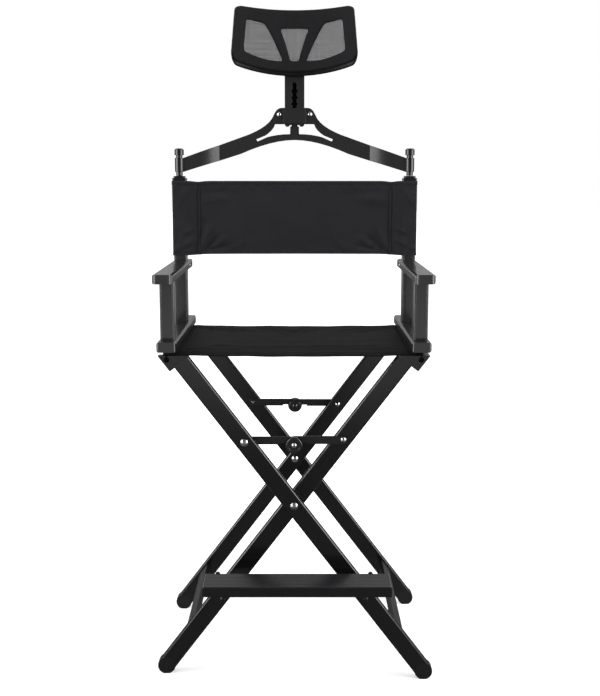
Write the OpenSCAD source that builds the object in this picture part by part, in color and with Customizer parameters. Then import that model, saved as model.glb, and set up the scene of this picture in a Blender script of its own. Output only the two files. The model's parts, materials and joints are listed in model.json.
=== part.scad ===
// Tall folding makeup chair: two nested X frames, a cloth seat and back
// between two armrest frames, a fold-up footrest and a lift-off headrest.
// Front of the chair faces -Y, left and right are as seen from the front.

/* [Overall] */
// Distance between the two seat hinges, left to right
hinge_span = 518; // [480:2:556]
// Height of the seat hinges above the floor
hinge_height = 690; // [670:5:720]
// Height of the scissor pivots above the floor
pivot_height = 381; // [365:1:395]
// Depth of the X frames, from the front leg face to the rear leg face
frame_depth = 430; // [400:5:470]

/* [Legs] */
// Width of a leg tube across the X
leg_w = 36; // [30:1:40]
// Thickness of a leg tube, front to back
leg_t = 20; // [18:1:24]
// Wall of every extruded tube
tube_wall = 1.8; // [1.2:0.1:2.5]
// Gap between the outer and the inner legs, which holds the brace bars
leg_gap = 8; // [8:0.5:12]
// Distance of a hinge axis from the leg centre line
hinge_offset = 20; // [16:1:22]
// Distance of a leg-top cap's outer side from its keyhole axis
keyhole_edge = 10; // [9:0.5:11]
// Length of the leg-top cap below its keyhole
top_cap_drop = 23; // [18:1:35]
// Radius of the keyhole and the rod in it
keyhole_r = 5.75; // [5:0.25:7]
// How far a foot cap stands proud of its leg
foot_proud = 0.8; // [0.4:0.1:3]
// Length of a foot cap's collar up the leg
foot_len = 4; // [2:0.5:12]
// Flat cut on the sole of each foot cap
foot_flat = 1; // [0.4:0.1:1.5]
// Height of the lower side stretchers
stretcher_height = 97; // [85:1:140]
// Width of a stretcher along the leg
stretcher_w = 30; // [20:1:36]
// Thickness of a stretcher
stretcher_t = 12; // [10:0.5:18]
// Distance of a stretcher's outer side from the leg's outer side
stretcher_inset = 5; // [1:0.5:8]

/* [Pivots and braces] */
// Diameter of the pivot bolt shanks
bolt_d = 8; // [6:0.5:9]
// Diameter of the domed pivot bolt heads
bolt_head_d = 16; // [14:0.5:20]
// Distance of the brace bolts from the scissor pivots, along the leg
brace_r = 170; // [150:1:185]
// Height of a brace bar
brace_h = 17; // [14:0.5:20]
// Thickness of a brace bar
brace_t = 3; // [2:0.25:3]
// How far the brace knob hangs below the bolts when locked
brace_drop = 8; // [5:0.5:10]
// Diameter of the brace knobs
knob_d = 34; // [28:1:36]
// Depth of the brace knobs
knob_t = 13; // [9:0.5:16]

/* [Side frames] */
// Width of the seat rail
rail_w = 40; // [38:1:46]
// Height of the seat rail
rail_h = 21; // [18:1:25]
// How far the seat rail reaches in front of the legs
rail_front = 10; // [4:1:25]
// Clearance from a hinge axis up to the seat rail
rail_lift = 16; // [16:0.5:20]
// Width of a post, left to right
post_w = 30; // [24:1:32]
// Depth of a post, front to back
post_d = 19; // [17:1:24]
// Centre of the front posts behind the front leg face
front_post_y = 30; // [22:1:60]
// Centre of the back posts behind the front leg face
back_post_y = 300; // [270:5:330]
// Height of the armrest top above the floor
arm_top = 868; // [840:1:900]
// Width of an armrest
arm_w = 41; // [36:1:50]
// Thickness of an armrest
arm_t = 19; // [15:1:28]
// How far the armrests reach in front of the legs
arm_front = 55; // [35:1:70]
// Length of an armrest
arm_len = 420; // [390:5:450]
// Height of the back post caps above the floor
post_top = 1059; // [1045:1:1075]
// Height of the shouldered part of a post cap
post_cap_h = 11; // [8:1:16]

/* [Cloth] */
// Thickness of the seat and back cloth
cloth_t = 2; // [1.4:0.2:2.6]
// Sag of the seat cloth at its middle
seat_sag = 3; // [2:0.5:16]
// Height of the back cloth
back_h = 167; // [150:1:180]
// Depth of the curve of the back cloth
back_sag = 14; // [4:1:24]

/* [Footrest] */
// Width of the footrest board
board_w = 383; // [361:2:421]
// Depth of the footrest board
board_d = 78; // [60:1:95]
// Thickness of the footrest board
board_t = 22; // [14:1:26]
// Height of the footrest board top above the floor
board_top = 241; // [232:1:255]
// Space between the board and the front legs
board_gap = 14; // [12:0.5:20]
// Height of the footrest bolts above the floor
foot_bolt_height = 184; // [175:1:190]
// How far the board sits to the right of the centre
board_shift = 6.5; // [0:0.5:10]

/* [Headrest] */
// Length of a yoke sleeve
sleeve_h = 31; // [24:1:40]
// Radius of a yoke sleeve
sleeve_r = 10; // [9:0.5:12]
// Radius of a yoke pin
pin_r = 7.4; // [6:0.2:8]
// Thickness of the yoke plate
yoke_t = 5; // [3:0.5:6]
// How far the middle of the yoke plate steps back from the pins
yoke_step = 18; // [14:1:24]
// Width of the headrest stem
stem_w = 44; // [38:1:46]
// Thickness of the headrest stem
stem_t = 5; // [4:0.5:6]
// Thickness of the clamp plate
clamp_t = 3; // [2:0.5:4]
// Width of the headrest
rest_w = 277; // [261:2:321]
// Height of the middle of the headrest's top edge
rest_top = 1418; // [1408:1:1438]
// Thickness of the headrest frame
rest_t = 13; // [10:1:16]
// Radius of the headrest's hollow
rest_radius = 290; // [260:5:400]
// Diameter of the headrest tilt pin
tilt_pin_d = 6; // [4:0.5:8]

/* [Hidden] */
$fn = 48;

// Clearances
running = 0.06; // round a shaft that turns or slides
seat_fit = 0.05; // round a fixed pin or plug
free = 0.5; // between pieces that move past each other
touch = 0.3; // between a resting piece and its seat

// Colours
black_metal = "#242527";
black_plastic = "#1b1b1d";
black_cloth = "#2d2d30";
silver = "#c9cacc";
mesh_grey = "#6c6d70";

// The X frames
hinge_x = hinge_span / 2;
hinge_rise = hinge_height - pivot_height;
hinge_r = sqrt(hinge_x * hinge_x + hinge_rise * hinge_rise);
leg_angle = atan2(hinge_x, hinge_rise) - asin(hinge_offset / hinge_r);
hinge_s = sqrt(hinge_r * hinge_r - hinge_offset * hinge_offset);
foot_r = leg_w / 2 + foot_proud;
foot_s = (pivot_height - foot_r + foot_flat) / cos(leg_angle);
leg_up = hinge_s + leg_w;
leg_end = hinge_s - top_cap_drop;
leg_groove = 1.2;
leg_bore_w = leg_w - 2 * (tube_wall + leg_groove);
leg_bore_t = leg_t - 2 * tube_wall;
cap_top = hinge_height + 8;
inner_y = leg_t + leg_gap;
stretcher_s = (pivot_height - stretcher_height) / cos(leg_angle);
bolt_r = bolt_d / 2;
small_bolt_r = bolt_r * 0.75;
head_h = bolt_head_d * 0.2;
small_head_d = bolt_head_d * 0.72;

// The brace bars lie side by side in the gap
brace_reach = brace_r * sin(leg_angle);
brace_z = pivot_height + brace_r * cos(leg_angle);
left_bar_y = leg_t + free;
right_bar_y = inner_y - free - brace_t;

// Side frames
rail_z = hinge_height + rail_lift;
rail_top = rail_z + rail_h;
rail_cap = 6;
arm_z = arm_top - arm_t;
post_top_z = post_top - post_cap_h;
post_plug = 36;
spigot_r = 5;
spigot_len = 26;
lug_t = 5;
lug_r = 10;
lug_gap = 1.5;
rod_inset = 12;
back_z = post_top_z - back_h;

// Footrest
board_y = -board_gap - board_d;
bracket_t = 3;
bracket_w = 24;
foot_bolt_x = (pivot_height - foot_bolt_height) * tan(leg_angle);
bump_x = foot_bolt_x + 10;
bump_w = 10;
bump_rise = 3;
board_edge = 2.5;
board_cap = 3;

// Headrest: heights follow the post top
neck_h = 9;
sleeve_z = post_top + neck_h;
sleeve_top = sleeve_z + sleeve_h;
finial_z = sleeve_top + 6;
finial_h = 15;
finial_r = 10.5;
yoke_y = back_post_y + yoke_step - yoke_t / 2;
stem_y = yoke_y - stem_t - free / 2;
clamp_z = post_top + 116;
clamp_h = 35;
clamp_w = 94;
screw_x = 34;
screw_z = clamp_z + 20;
clamp_screw_r = 3;
stem_z = clamp_z - 7;
tilt_z = rest_top - 126;
tilt_y = stem_y + stem_t / 2;
barrel_r = tilt_pin_d / 2 + 4;
rest_y = tilt_y - barrel_r - 3.5 - rest_t;
rest_cy = rest_y - rest_radius;
mesh_t = 1.4;
rest_h = 141;
rest_horn = 6;
ear_t = 6;
ear_x = stem_w / 2 + ear_t / 2 + 1;
ear_root = rest_y + rest_t - 8;

// The row of the origin: middle of the chair's depth
front_y = board_y;
rear_y = max(frame_depth + max(foot_proud, head_h), arm_len - arm_front);
y_mid = (front_y + rear_y) / 2;

module placed() translate([0, -y_mid, 0]) children();

// A front-view outline, x and z, given depth from y0 to y1
module front_view(y0, y1) translate([0, y1, 0]) rotate([90, 0, 0]) linear_extrude(y1 - y0) children();

// A side-view outline, y and z, given width from x0 to x1
module side_view(x0, x1) translate([x0, 0, 0]) rotate([90, 0, 90]) linear_extrude(x1 - x0) children();

// Front to back: the rear pieces mirror the front ones
module rear_mirror() translate([0, frame_depth, 0]) mirror([0, 1, 0]) children();

// Left to right
module right_mirror() mirror([1, 0, 0]) children();

module rod_y(r, y0, y1) translate([0, y0, 0]) rotate([-90, 0, 0]) cylinder(r = r, h = y1 - y0);

module round_rect(w, h, r) {
    square([w - 2 * r, h], center = true);
    square([w, h - 2 * r], center = true);
    for (x = [-1, 1], y = [-1, 1]) translate([x * (w / 2 - r), y * (h / 2 - r)]) circle(r);
}

// Points of a curve from a to c, pulled towards b
function curve(a, b, c, n = 6) =
    [for (i = [0 : n]) let (t = i / n) a * (1 - t) * (1 - t) + b * 2 * t * (1 - t) + c * t * t];

// A domed head on the plane z = 0
module dome(d, h) {
    dome_r = (d * d / 4 + h * h) / (2 * h);
    rotate_extrude() intersection() {
        translate([0, h - dome_r]) circle(dome_r, $fn = 96);
        square([d / 2, h]);
    }
}

// A domed head whose top faces the front
module dome_front(d, h, y) translate([0, y, 0]) rotate([90, 0, 0]) dome(d, h);

// Section of a plain extruded tube
module tube_section(w, t, r = 3) difference() {
    round_rect(w, t, r);
    round_rect(w - 2 * tube_wall, t - 2 * tube_wall, max(r - tube_wall, 0.6));
}

// Section of a leg: a tube with a shallow channel along each narrow side
module leg_section() difference() {
    round_rect(leg_w, leg_t, 3);
    round_rect(leg_bore_w, leg_bore_t, 1);
    for (x = [-1, 1]) translate([x * leg_w / 2, 0]) square([2 * leg_groove, leg_t * 0.46], center = true);
}

// Local frame of the outer legs: z runs up the leg from the pivot
module on_outer() translate([0, 0, pivot_height]) rotate([0, -leg_angle, 0]) children();

// A leg tube with the holes for its bolts, from its foot cap to its top cap
module leg(y, foot_bolt) {
    difference() {
        translate([0, y + leg_t / 2, -foot_s]) linear_extrude(foot_s + leg_end) leg_section();
        for (s = [[0, bolt_r], [brace_r, small_bolt_r]])
            translate([0, 0, s[0]]) rod_y(s[1] + running, y - 1, y + leg_t + 1);
        if (foot_bolt) translate([0, 0, -(pivot_height - foot_bolt_height) / cos(leg_angle)])
            rod_y(small_bolt_r + running, y - 1, y + leg_t + 1);
    }
}

// Outline of a leg-top cap in the leg's own frame: a block that reaches out past the keyhole,
// and goes on up past the height where it is cut level
module top_cap_outline() {
    rim = 1.2;
    corner = 2;
    outer_x = -hinge_offset - keyhole_edge;
    width = leg_w / 2 + rim - outer_x;
    translate([outer_x + width / 2, leg_end + leg_up / 2]) round_rect(width, leg_up, corner);
}

// A leg-top cap: y0 to y1 is its depth, leg_y the front of the leg that it is plugged into
module top_cap(y0, y1, leg_y) {
    slot_w = 3;
    plug = 22;
    difference() {
        on_outer() {
            front_view(y0, y1) top_cap_outline();
            translate([0, leg_y + leg_t / 2, leg_end - plug]) linear_extrude(plug + 1) leg_plug();
        }
        translate([-hinge_span, y0 - 1, cap_top]) cube([hinge_span, y1 - y0 + 2, hinge_span]);
        translate([-hinge_x, 0, hinge_height]) rod_y(keyhole_r, y0 - 1, y1 + 1);
        translate([-hinge_x - slot_w / 2, y0 - 1, hinge_height])
            cube([slot_w, y1 - y0 + 2, keyhole_edge * 2]);
    }
}

// Section of the plug of a leg's cap
module leg_plug() round_rect(leg_bore_w - 2 * seat_fit, leg_bore_t - 2 * seat_fit, 1);

// A foot cap: a half-round shoe with a short collar and a plug in the tube, cut flat where it stands
module foot_cap(y) {
    plug = 22;
    difference() {
        on_outer() {
            difference() {
                front_view(y - foot_proud, y + leg_t + foot_proud) union() {
                    translate([0, -foot_s]) circle(foot_r);
                    translate([-foot_r, -foot_s]) square([2 * foot_r, foot_len]);
                }
                translate([0, y + leg_t / 2, -foot_s]) linear_extrude(foot_r + foot_len)
                    round_rect(leg_w + 2 * seat_fit, leg_t + 2 * seat_fit, 3);
            }
            translate([0, y + leg_t / 2, -foot_s - 1]) linear_extrude(plug + 1) leg_plug();
        }
        translate([-hinge_span, y - leg_t, -2 * foot_r]) cube([2 * hinge_span, 3 * leg_t, 2 * foot_r]);
    }
}

// A lower stretcher between the front and the rear leg of one frame
module stretcher(y) on_outer()
    translate([leg_w / 2 - stretcher_inset - stretcher_t / 2, y, -stretcher_s]) rotate([-90, 0, 0])
        linear_extrude(frame_depth - 2 * y) tube_section(stretcher_t, stretcher_w, 2);

module outer_front_leg() color(black_metal) placed() on_outer() leg(0, true);
module outer_rear_leg() color(black_metal) placed() on_outer() leg(frame_depth - leg_t, false);
module inner_front_leg() color(black_metal) placed() right_mirror() on_outer() leg(inner_y, true);
module inner_rear_leg() color(black_metal) placed() right_mirror() on_outer()
    leg(frame_depth - inner_y - leg_t, false);
module outer_stretcher() color(black_metal) placed() stretcher(leg_t);
module inner_stretcher() color(black_metal) placed() right_mirror() stretcher(inner_y + leg_t);

module outer_top_caps() color(black_plastic) placed() {
    top_cap(0, leg_t, 0);
    rear_mirror() top_cap(0, leg_t, 0);
}
module inner_top_caps() color(black_plastic) placed() right_mirror() {
    top_cap(0, inner_y + leg_t, inner_y);
    rear_mirror() top_cap(0, inner_y + leg_t, inner_y);
}
module outer_foot_caps() color(black_plastic) placed() {
    foot_cap(0);
    foot_cap(frame_depth - leg_t);
}
module inner_foot_caps() color(black_plastic) placed() right_mirror() {
    foot_cap(inner_y);
    foot_cap(frame_depth - inner_y - leg_t);
}

// A scissor pivot bolt with a domed head and a domed nut
module pivot_bolt() translate([0, 0, pivot_height]) {
    rod_y(bolt_r, 0, inner_y + leg_t);
    dome_front(bolt_head_d, head_h, 0);
    translate([0, inner_y + leg_t + touch, 0]) rotate([-90, 0, 0]) dome(bolt_head_d, head_h);
}
module pivot_bolts() color(silver) placed() {
    pivot_bolt();
    rear_mirror() pivot_bolt();
}
module pivot_spacer() translate([0, 0, pivot_height]) difference() {
    rod_y(bolt_r + 5, leg_t, inner_y - touch);
    rod_y(bolt_r + seat_fit, leg_t - 1, inner_y + 1);
}
module pivot_spacers() color(silver) placed() {
    pivot_spacer();
    rear_mirror() pivot_spacer();
}

// Bolt through an outer leg into the left brace bar
module outer_brace_bolt() translate([-brace_reach, 0, brace_z]) {
    rod_y(small_bolt_r, 0, left_bar_y + brace_t + touch);
    dome_front(bolt_head_d, head_h, 0);
}
module outer_brace_bolts() color(silver) placed() {
    outer_brace_bolt();
    rear_mirror() outer_brace_bolt();
}
// Bolt through the right brace bar into an inner leg
module inner_brace_bolt() translate([brace_reach, 0, brace_z]) {
    rod_y(small_bolt_r, right_bar_y - touch, inner_y + leg_t);
    dome_front(small_head_d, head_h * 0.8, right_bar_y - touch);
    translate([0, inner_y + leg_t, 0]) rotate([-90, 0, 0]) dome(small_head_d, head_h);
}
module inner_brace_bolts() color(silver) placed() {
    inner_brace_bolt();
    rear_mirror() inner_brace_bolt();
}

// A brace bar, from its bolt to the knob at the middle of the chair
module brace_bar(y) translate([-brace_reach, 0, brace_z]) difference() {
    front_view(y, y + brace_t) {
        circle(brace_h / 2);
        translate([0, -brace_h / 2]) square([brace_reach * 0.72, brace_h]);
        translate([0, -brace_h / 2 + 3]) square([brace_reach, brace_h - 3]);
        translate([brace_reach, -brace_drop]) circle(brace_h / 2 + 2);
        translate([brace_reach, 0]) circle(brace_h / 2);
    }
    rod_y(small_bolt_r + running, y - 1, y + brace_t + 1);
    translate([brace_reach, 0, -brace_drop]) rod_y(small_bolt_r + seat_fit, y - 1, y + brace_t + 1);
}
module front_left_brace() color(black_metal) placed() brace_bar(left_bar_y);
module rear_left_brace() color(black_metal) placed() rear_mirror() brace_bar(left_bar_y);
module front_right_brace() color(black_metal) placed() right_mirror() brace_bar(right_bar_y);
module rear_right_brace() color(black_metal) placed() rear_mirror() right_mirror() brace_bar(right_bar_y);

// Round knob on the left bar, with a rounded rim and a shallow dish
module knob() {
    rim = 2.5;
    dish = 1.2;
    translate([0, left_bar_y, brace_z - brace_drop]) rotate([90, 0, 0]) difference() {
        rotate_extrude() difference() {
            union() {
                square([knob_d / 2, knob_t - rim]);
                square([knob_d / 2 - rim, knob_t]);
                translate([knob_d / 2 - rim, knob_t - rim]) circle(rim);
            }
            translate([0, knob_t - dish]) square([knob_d / 2 - 2 * rim, dish + 1]);
            translate([-rim * 4, 0]) square([rim * 4, knob_t * 2]);
        }
        translate([0, 0, -1]) cylinder(r = small_bolt_r + seat_fit, h = knob_t + 2);
    }
}
module front_knob() color(black_plastic) placed() knob();
module rear_knob() color(black_plastic) placed() rear_mirror() knob();

// Bolt of the knob, which ends short of the right bar
module knob_bolt() translate([0, 0, brace_z - brace_drop]) {
    rod_y(small_bolt_r, left_bar_y - knob_t + 1.2, left_bar_y + brace_t + touch / 2);
    dome_front(small_head_d, head_h, left_bar_y - knob_t + 1.2);
}
module front_knob_bolt() color(silver) placed() knob_bolt();
module rear_knob_bolt() color(silver) placed() rear_mirror() knob_bolt();

// Round boss on the far face of the right bar, with its rivet
module brace_boss() translate([0, 0, brace_z - brace_drop]) {
    boss_d = knob_d - 4;
    boss_t = 3;
    translate([0, right_bar_y + brace_t, 0]) rotate([-90, 0, 0]) {
        cylinder(d = boss_d, h = boss_t * 0.6);
        cylinder(d = boss_d - 3, h = boss_t);
        translate([0, 0, boss_t]) dome(small_head_d, head_h * 0.7);
    }
}
module brace_bosses_front() color(black_plastic) placed() brace_boss();
module brace_bosses_rear() color(black_plastic) placed() rear_mirror() brace_boss();

// Seat rail: a tube from front to back
module rail_body() {
    length = frame_depth + rail_front - 2 * rail_cap;
    translate([-hinge_x, rail_cap - rail_front, rail_z + rail_h / 2]) rotate([-90, 0, 0])
        linear_extrude(length) tube_section(rail_w, rail_h, 5);
}
// End cap of a seat rail: rounded block and plug
module rail_cap_solid() {
    plug = 12;
    corner = rail_cap - 0.5;
    translate([-hinge_x, rail_cap - rail_front, rail_z + rail_h / 2]) {
        intersection() {
            rotate([90, 0, 0]) linear_extrude(rail_cap) round_rect(rail_w, rail_h, 5);
            translate([0, 0, -rail_h]) linear_extrude(2 * rail_h) round_rect(rail_w, 2 * rail_cap, corner);
        }
        rotate([-90, 0, 0]) linear_extrude(plug)
            round_rect(rail_w - 2 * tube_wall - 2 * seat_fit, rail_h - 2 * tube_wall - 2 * seat_fit, 3);
    }
}
module rail_caps() {
    rail_cap_solid();
    translate([0, frame_depth - rail_front, 0]) mirror([0, 1, 0]) rail_cap_solid();
}
// Hinge lugs under the rail; cap_end is where the leg-top cap ends
module rail_lug(y) difference() {
    translate([-hinge_x, 0, 0]) front_view(y, y + lug_t) union() {
        translate([0, hinge_height]) circle(lug_r);
        translate([-lug_r, hinge_height]) square([2 * lug_r, rail_lift]);
    }
    translate([-hinge_x, 0, hinge_height]) rod_y(keyhole_r - running + seat_fit, y - 1, y + lug_t + 1);
}
module rail_lugs(cap_end) {
    rail_lug(cap_end + lug_gap);
    rear_mirror() rail_lug(cap_end + lug_gap);
}
// Rod through the keyholes, carried by the lugs; its ends stay inside the caps
module hinge_rod() translate([-hinge_x, 0, hinge_height])
    rod_y(keyhole_r - running, rod_inset, frame_depth - rod_inset);

module post_section(w, d) {
    groove = 1.2;
    difference() {
        round_rect(w, d, 2.5);
        round_rect(w - 2 * tube_wall, d - 2 * tube_wall, 1);
        for (x = [-1, 1], y = [-1, 0, 1])
            translate([x * w / 2, y * d / 4]) square([groove, groove], center = true);
        for (x = [-1, 1]) translate([x * (w / 2 - 4), -d / 2]) square([groove, groove], center = true);
    }
}
module front_post() translate([-hinge_x, front_post_y, rail_top])
    linear_extrude(arm_z - rail_top) post_section(post_w, post_d);
module back_post() translate([-hinge_x, back_post_y, rail_top])
    linear_extrude(post_top_z - rail_top) post_section(post_w, post_d);

// Armrest: a bar with rounded edges and corners, let over the back post
module armrest() difference() {
    intersection() {
        translate([-hinge_x, arm_len - arm_front, arm_z + arm_t / 2]) rotate([90, 0, 0])
            linear_extrude(arm_len) round_rect(arm_w, arm_t, 5);
        translate([-hinge_x, arm_len / 2 - arm_front, arm_z]) linear_extrude(arm_t)
            round_rect(arm_w, arm_len, 9);
    }
    translate([-hinge_x, back_post_y, arm_z - 1]) linear_extrude(arm_t + 2)
        round_rect(post_w + 2 * seat_fit, post_d + 2 * seat_fit, 2.5);
    translate([-hinge_x, back_post_y, arm_z + arm_t / 2]) rotate([0, 90, 0])
        cylinder(r = small_bolt_r * 0.6 + seat_fit, h = arm_w);
}
module arm_screw() translate([-hinge_x + post_w / 2 + seat_fit, back_post_y, arm_z + arm_t / 2])
    rotate([0, 90, 0]) {
        screw_l = (arm_w - post_w) / 2 - seat_fit;
        cylinder(r = small_bolt_r * 0.6, h = screw_l);
        translate([0, 0, screw_l]) dome(6.5, 1.6);
    }

// Shouldered cap in the top of a back post, with the socket for a yoke pin
module post_cap() {
    shoulder = 2;
    difference() {
        union() {
            translate([-hinge_x, back_post_y, post_top_z])
                linear_extrude(post_cap_h * 0.6) round_rect(post_w + shoulder, post_d + shoulder, 3.5);
            translate([-hinge_x, back_post_y, post_top_z])
                linear_extrude(post_cap_h) round_rect(post_w - 4, post_d - 1, 4);
            translate([-hinge_x, back_post_y, post_top_z - post_plug]) linear_extrude(post_plug)
                round_rect(post_w - 2 * tube_wall - 2 * seat_fit, post_d - 2 * tube_wall - 2 * seat_fit, 1);
            translate([-hinge_x + (post_w + shoulder) / 2, back_post_y, post_top_z + post_cap_h * 0.3])
                rotate([0, 90, 0]) dome(4.5, 1.2);
        }
        translate([-hinge_x, back_post_y, post_top - spigot_len - touch])
            cylinder(r = spigot_r + running, h = spigot_len + 2);
    }
}

module left_seat_rail() color(black_metal) placed() rail_body();
module left_rail_caps() color(black_plastic) placed() rail_caps();
module left_rail_lugs() color(black_metal) placed() rail_lugs(leg_t);
module left_front_post() color(black_metal) placed() front_post();
module left_back_post() color(black_metal) placed() back_post();
module left_armrest() color(black_plastic) placed() armrest();
module left_arm_screw() color(silver) placed() arm_screw();
module left_post_cap() color(black_plastic) placed() post_cap();
module left_hinge_rod() color(silver) placed() hinge_rod();

module right_seat_rail() color(black_metal) placed() right_mirror() rail_body();
module right_rail_caps() color(black_plastic) placed() right_mirror() rail_caps();
module right_rail_lugs() color(black_metal) placed() right_mirror() rail_lugs(inner_y + leg_t);
module right_front_post() color(black_metal) placed() right_mirror() front_post();
module right_back_post() color(black_metal) placed() right_mirror() back_post();
module right_armrest() color(black_plastic) placed() right_mirror() armrest();
module right_arm_screw() color(silver) placed() right_mirror() arm_screw();
module right_post_cap() color(black_plastic) placed() right_mirror() post_cap();
module right_hinge_rod() color(silver) placed() right_mirror() hinge_rod();

// Points of a sagging line from -w to w, at height h, with thickness t
function sag_line(w, h, sag, steps) =
    [for (i = [0 : steps]) let (u = 2 * i / steps - 1) [w * u, h - sag * (1 - u * u)]];
function sag_band(w, h, sag, t, steps = 20) = concat(
    sag_line(w, h, sag, steps),
    [for (i = [0 : steps]) sag_line(w, h + t, sag, steps)[steps - i]]);

// Seat cloth: a slightly sagging sheet with a sleeve round each hinge rod
module seat_cloth() color(black_cloth) placed() {
    sheet_w = hinge_x - lug_r - 4;
    sheet_z = rail_z - touch * 6 - cloth_t;
    sleeve_in = keyhole_r + touch;
    sleeve_y0 = inner_y + leg_t + lug_gap + lug_t + 3;
    hem = 8;
    front_view(hem, frame_depth - hem) polygon(sag_band(sheet_w, sheet_z, seat_sag, cloth_t));
    for (x = [-1, 1]) front_view(sleeve_y0, frame_depth - sleeve_y0) difference() {
        union() {
            translate([x * hinge_x, hinge_height]) circle(sleeve_in + cloth_t);
            translate([x > 0 ? sheet_w - 1 : -hinge_x, sheet_z]) square([hinge_x - sheet_w + 1, cloth_t]);
            translate([x * hinge_x - cloth_t / 2, hinge_height + sleeve_in + cloth_t / 2])
                square([cloth_t, sheet_z + cloth_t - hinge_height - sleeve_in - cloth_t / 2]);
        }
        translate([x * hinge_x, hinge_height]) circle(sleeve_in);
    }
}

// Back cloth: a slightly hollow sheet with a sleeve round each back post
module back_cloth() color(black_cloth) placed() {
    in_w = post_w + 2 * touch;
    in_d = post_d + 2 * touch;
    out_w = in_w + 2 * cloth_t;
    out_d = in_d + 2 * cloth_t;
    span = hinge_x - out_w / 2 + 3;
    translate([0, back_post_y, back_z]) linear_extrude(back_h) {
        for (x = [-1, 1]) translate([x * hinge_x, 0]) difference() {
            round_rect(out_w, out_d, 3);
            round_rect(in_w, in_d, 1.2);
        }
        mirror([0, 1]) polygon(sag_band(span, out_d / 2 - cloth_t, back_sag, cloth_t));
    }
}

// Footrest board: an extruded plank, hollow, with a grooved top and round edges
module footrest_board() color(black_metal) placed() {
    groove_n = 9;
    groove_w = 0.8;
    margin = 8;
    pitch = (board_d - 2 * margin) / (groove_n - 1);
    side_view(board_shift - board_w / 2 + board_cap, board_shift + board_w / 2 - board_cap)
        translate([board_y + board_d / 2, board_top - board_t / 2]) difference() {
            round_rect(board_d, board_t, board_edge);
            round_rect(board_d - 2 * tube_wall, board_t - 2 * tube_wall, 1);
            for (i = [0 : groove_n - 1]) translate([margin - board_d / 2 + i * pitch, board_t / 2])
                square([groove_w, groove_w], center = true);
        }
}
module footrest_end_caps() color(black_plastic) placed() {
    for (x = [board_shift - board_w / 2, board_shift + board_w / 2 - board_cap])
        side_view(x, x + board_cap)
        translate([board_y + board_d / 2, board_top - board_t / 2])
            round_rect(board_d, board_t, board_edge);
}

// Bracket under the board: an upright plate behind it and a shelf below it
module bracket(x) {
    plate_z = board_top - board_t;
    shelf_inset = 18;
    front_view(-board_gap, bracket_t - board_gap) union() {
        translate([x * foot_bolt_x, foot_bolt_height]) circle(bracket_w / 2);
        translate([x * bump_x, board_top + bump_rise - bump_w / 2]) circle(bump_w / 2);
        polygon([[x * (foot_bolt_x - bracket_w / 2), foot_bolt_height],
                 [x * (foot_bolt_x + bracket_w / 2), foot_bolt_height],
                 [x * (bump_x + bump_w / 2), board_top + bump_rise - bump_w / 2],
                 [x * (bump_x - bump_w / 2), board_top + bump_rise - bump_w / 2]]);
    }
    translate([x * bump_x - bracket_w / 2, board_y + shelf_inset, plate_z - bracket_t])
        cube([bracket_w, board_d - shelf_inset + bracket_t / 2, bracket_t]);
}
// Right bracket, which turns on its bolt
module footrest_pivot_bracket() color(black_metal) placed() difference() {
    bracket(1);
    translate([foot_bolt_x, 0, foot_bolt_height]) rod_y(small_bolt_r + running, -board_gap - 1, bracket_t);
}
// Left bracket, which hooks over a stud and lifts off it
module footrest_hook_bracket() color(black_metal) placed() {
    notch_r = small_bolt_r + 3;
    difference() {
        bracket(-1);
        translate([-foot_bolt_x, 0, foot_bolt_height]) rod_y(notch_r, -board_gap - 1, bracket_t);
        translate([-foot_bolt_x - notch_r, -board_gap - 1, foot_bolt_height - bracket_w])
            cube([bracket_w * 2, bracket_t + 2, bracket_w]);
        translate([-foot_bolt_x, -board_gap - 1, foot_bolt_height]) rotate([0, 35, 0])
            translate([0, 0, -bracket_w]) cube([bracket_w, bracket_t + 2, bracket_w + notch_r * 0.8]);
    }
}
// A bolt that stands out from a leg: dome, shank, and collar behind the bracket
module foot_bolt(leg_y) {
    collar = touch + bracket_t - board_gap;
    translate([0, 0, foot_bolt_height]) {
        rod_y(small_bolt_r, -board_gap - touch, leg_y + leg_t);
        dome_front(small_head_d + 1, head_h * 0.9, -board_gap - touch);
        rod_y(small_bolt_r + 3, collar, leg_y);
        translate([0, leg_y + leg_t, 0]) rotate([-90, 0, 0]) dome(small_head_d, head_h);
    }
}
module footrest_pivot_bolt() color(silver) placed() translate([foot_bolt_x, 0, 0]) foot_bolt(0);
module footrest_stud() color(silver) placed() translate([-foot_bolt_x, 0, 0]) foot_bolt(inner_y);

// Right half of the yoke plate in front view: arm, shoulder, arch and web.
// Across, its places are shares of the span; upwards they hang from the clamp
module yoke_outline() {
    arm_end = hinge_x - sleeve_r + 1;
    head = clamp_z + clamp_h;
    elbow = [0.4 * hinge_x, head - 59];
    elbow_low = [0.47 * hinge_x, head - 102];
    polygon(concat(
        [[0, head]],
        curve([screw_x - 5, head], [screw_x + 6, head], [screw_x + 12, head - 14], 4),
        curve([screw_x + 13, head - 16], [screw_x + 22, head - 40], elbow),
        [[arm_end, sleeve_top], [arm_end, sleeve_z]],
        curve(elbow_low, [0.2 * hinge_x, head - 71], [0, head - 71])));
}
// Crescent window between the shoulder, the web and the arch
module yoke_window() {
    head = clamp_z + clamp_h;
    web = 10;
    tip = [0.385 * hinge_x, head - 78];
    offset(r = 1.5) offset(delta = -1.5) polygon(concat(
        [[web, clamp_z - 1]],
        curve([screw_x + 10, clamp_z - 1], [screw_x + 14, clamp_z - 22], tip),
        curve(tip, [0.2 * hinge_x, head - 57], [web, head - 58])));
}
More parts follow.
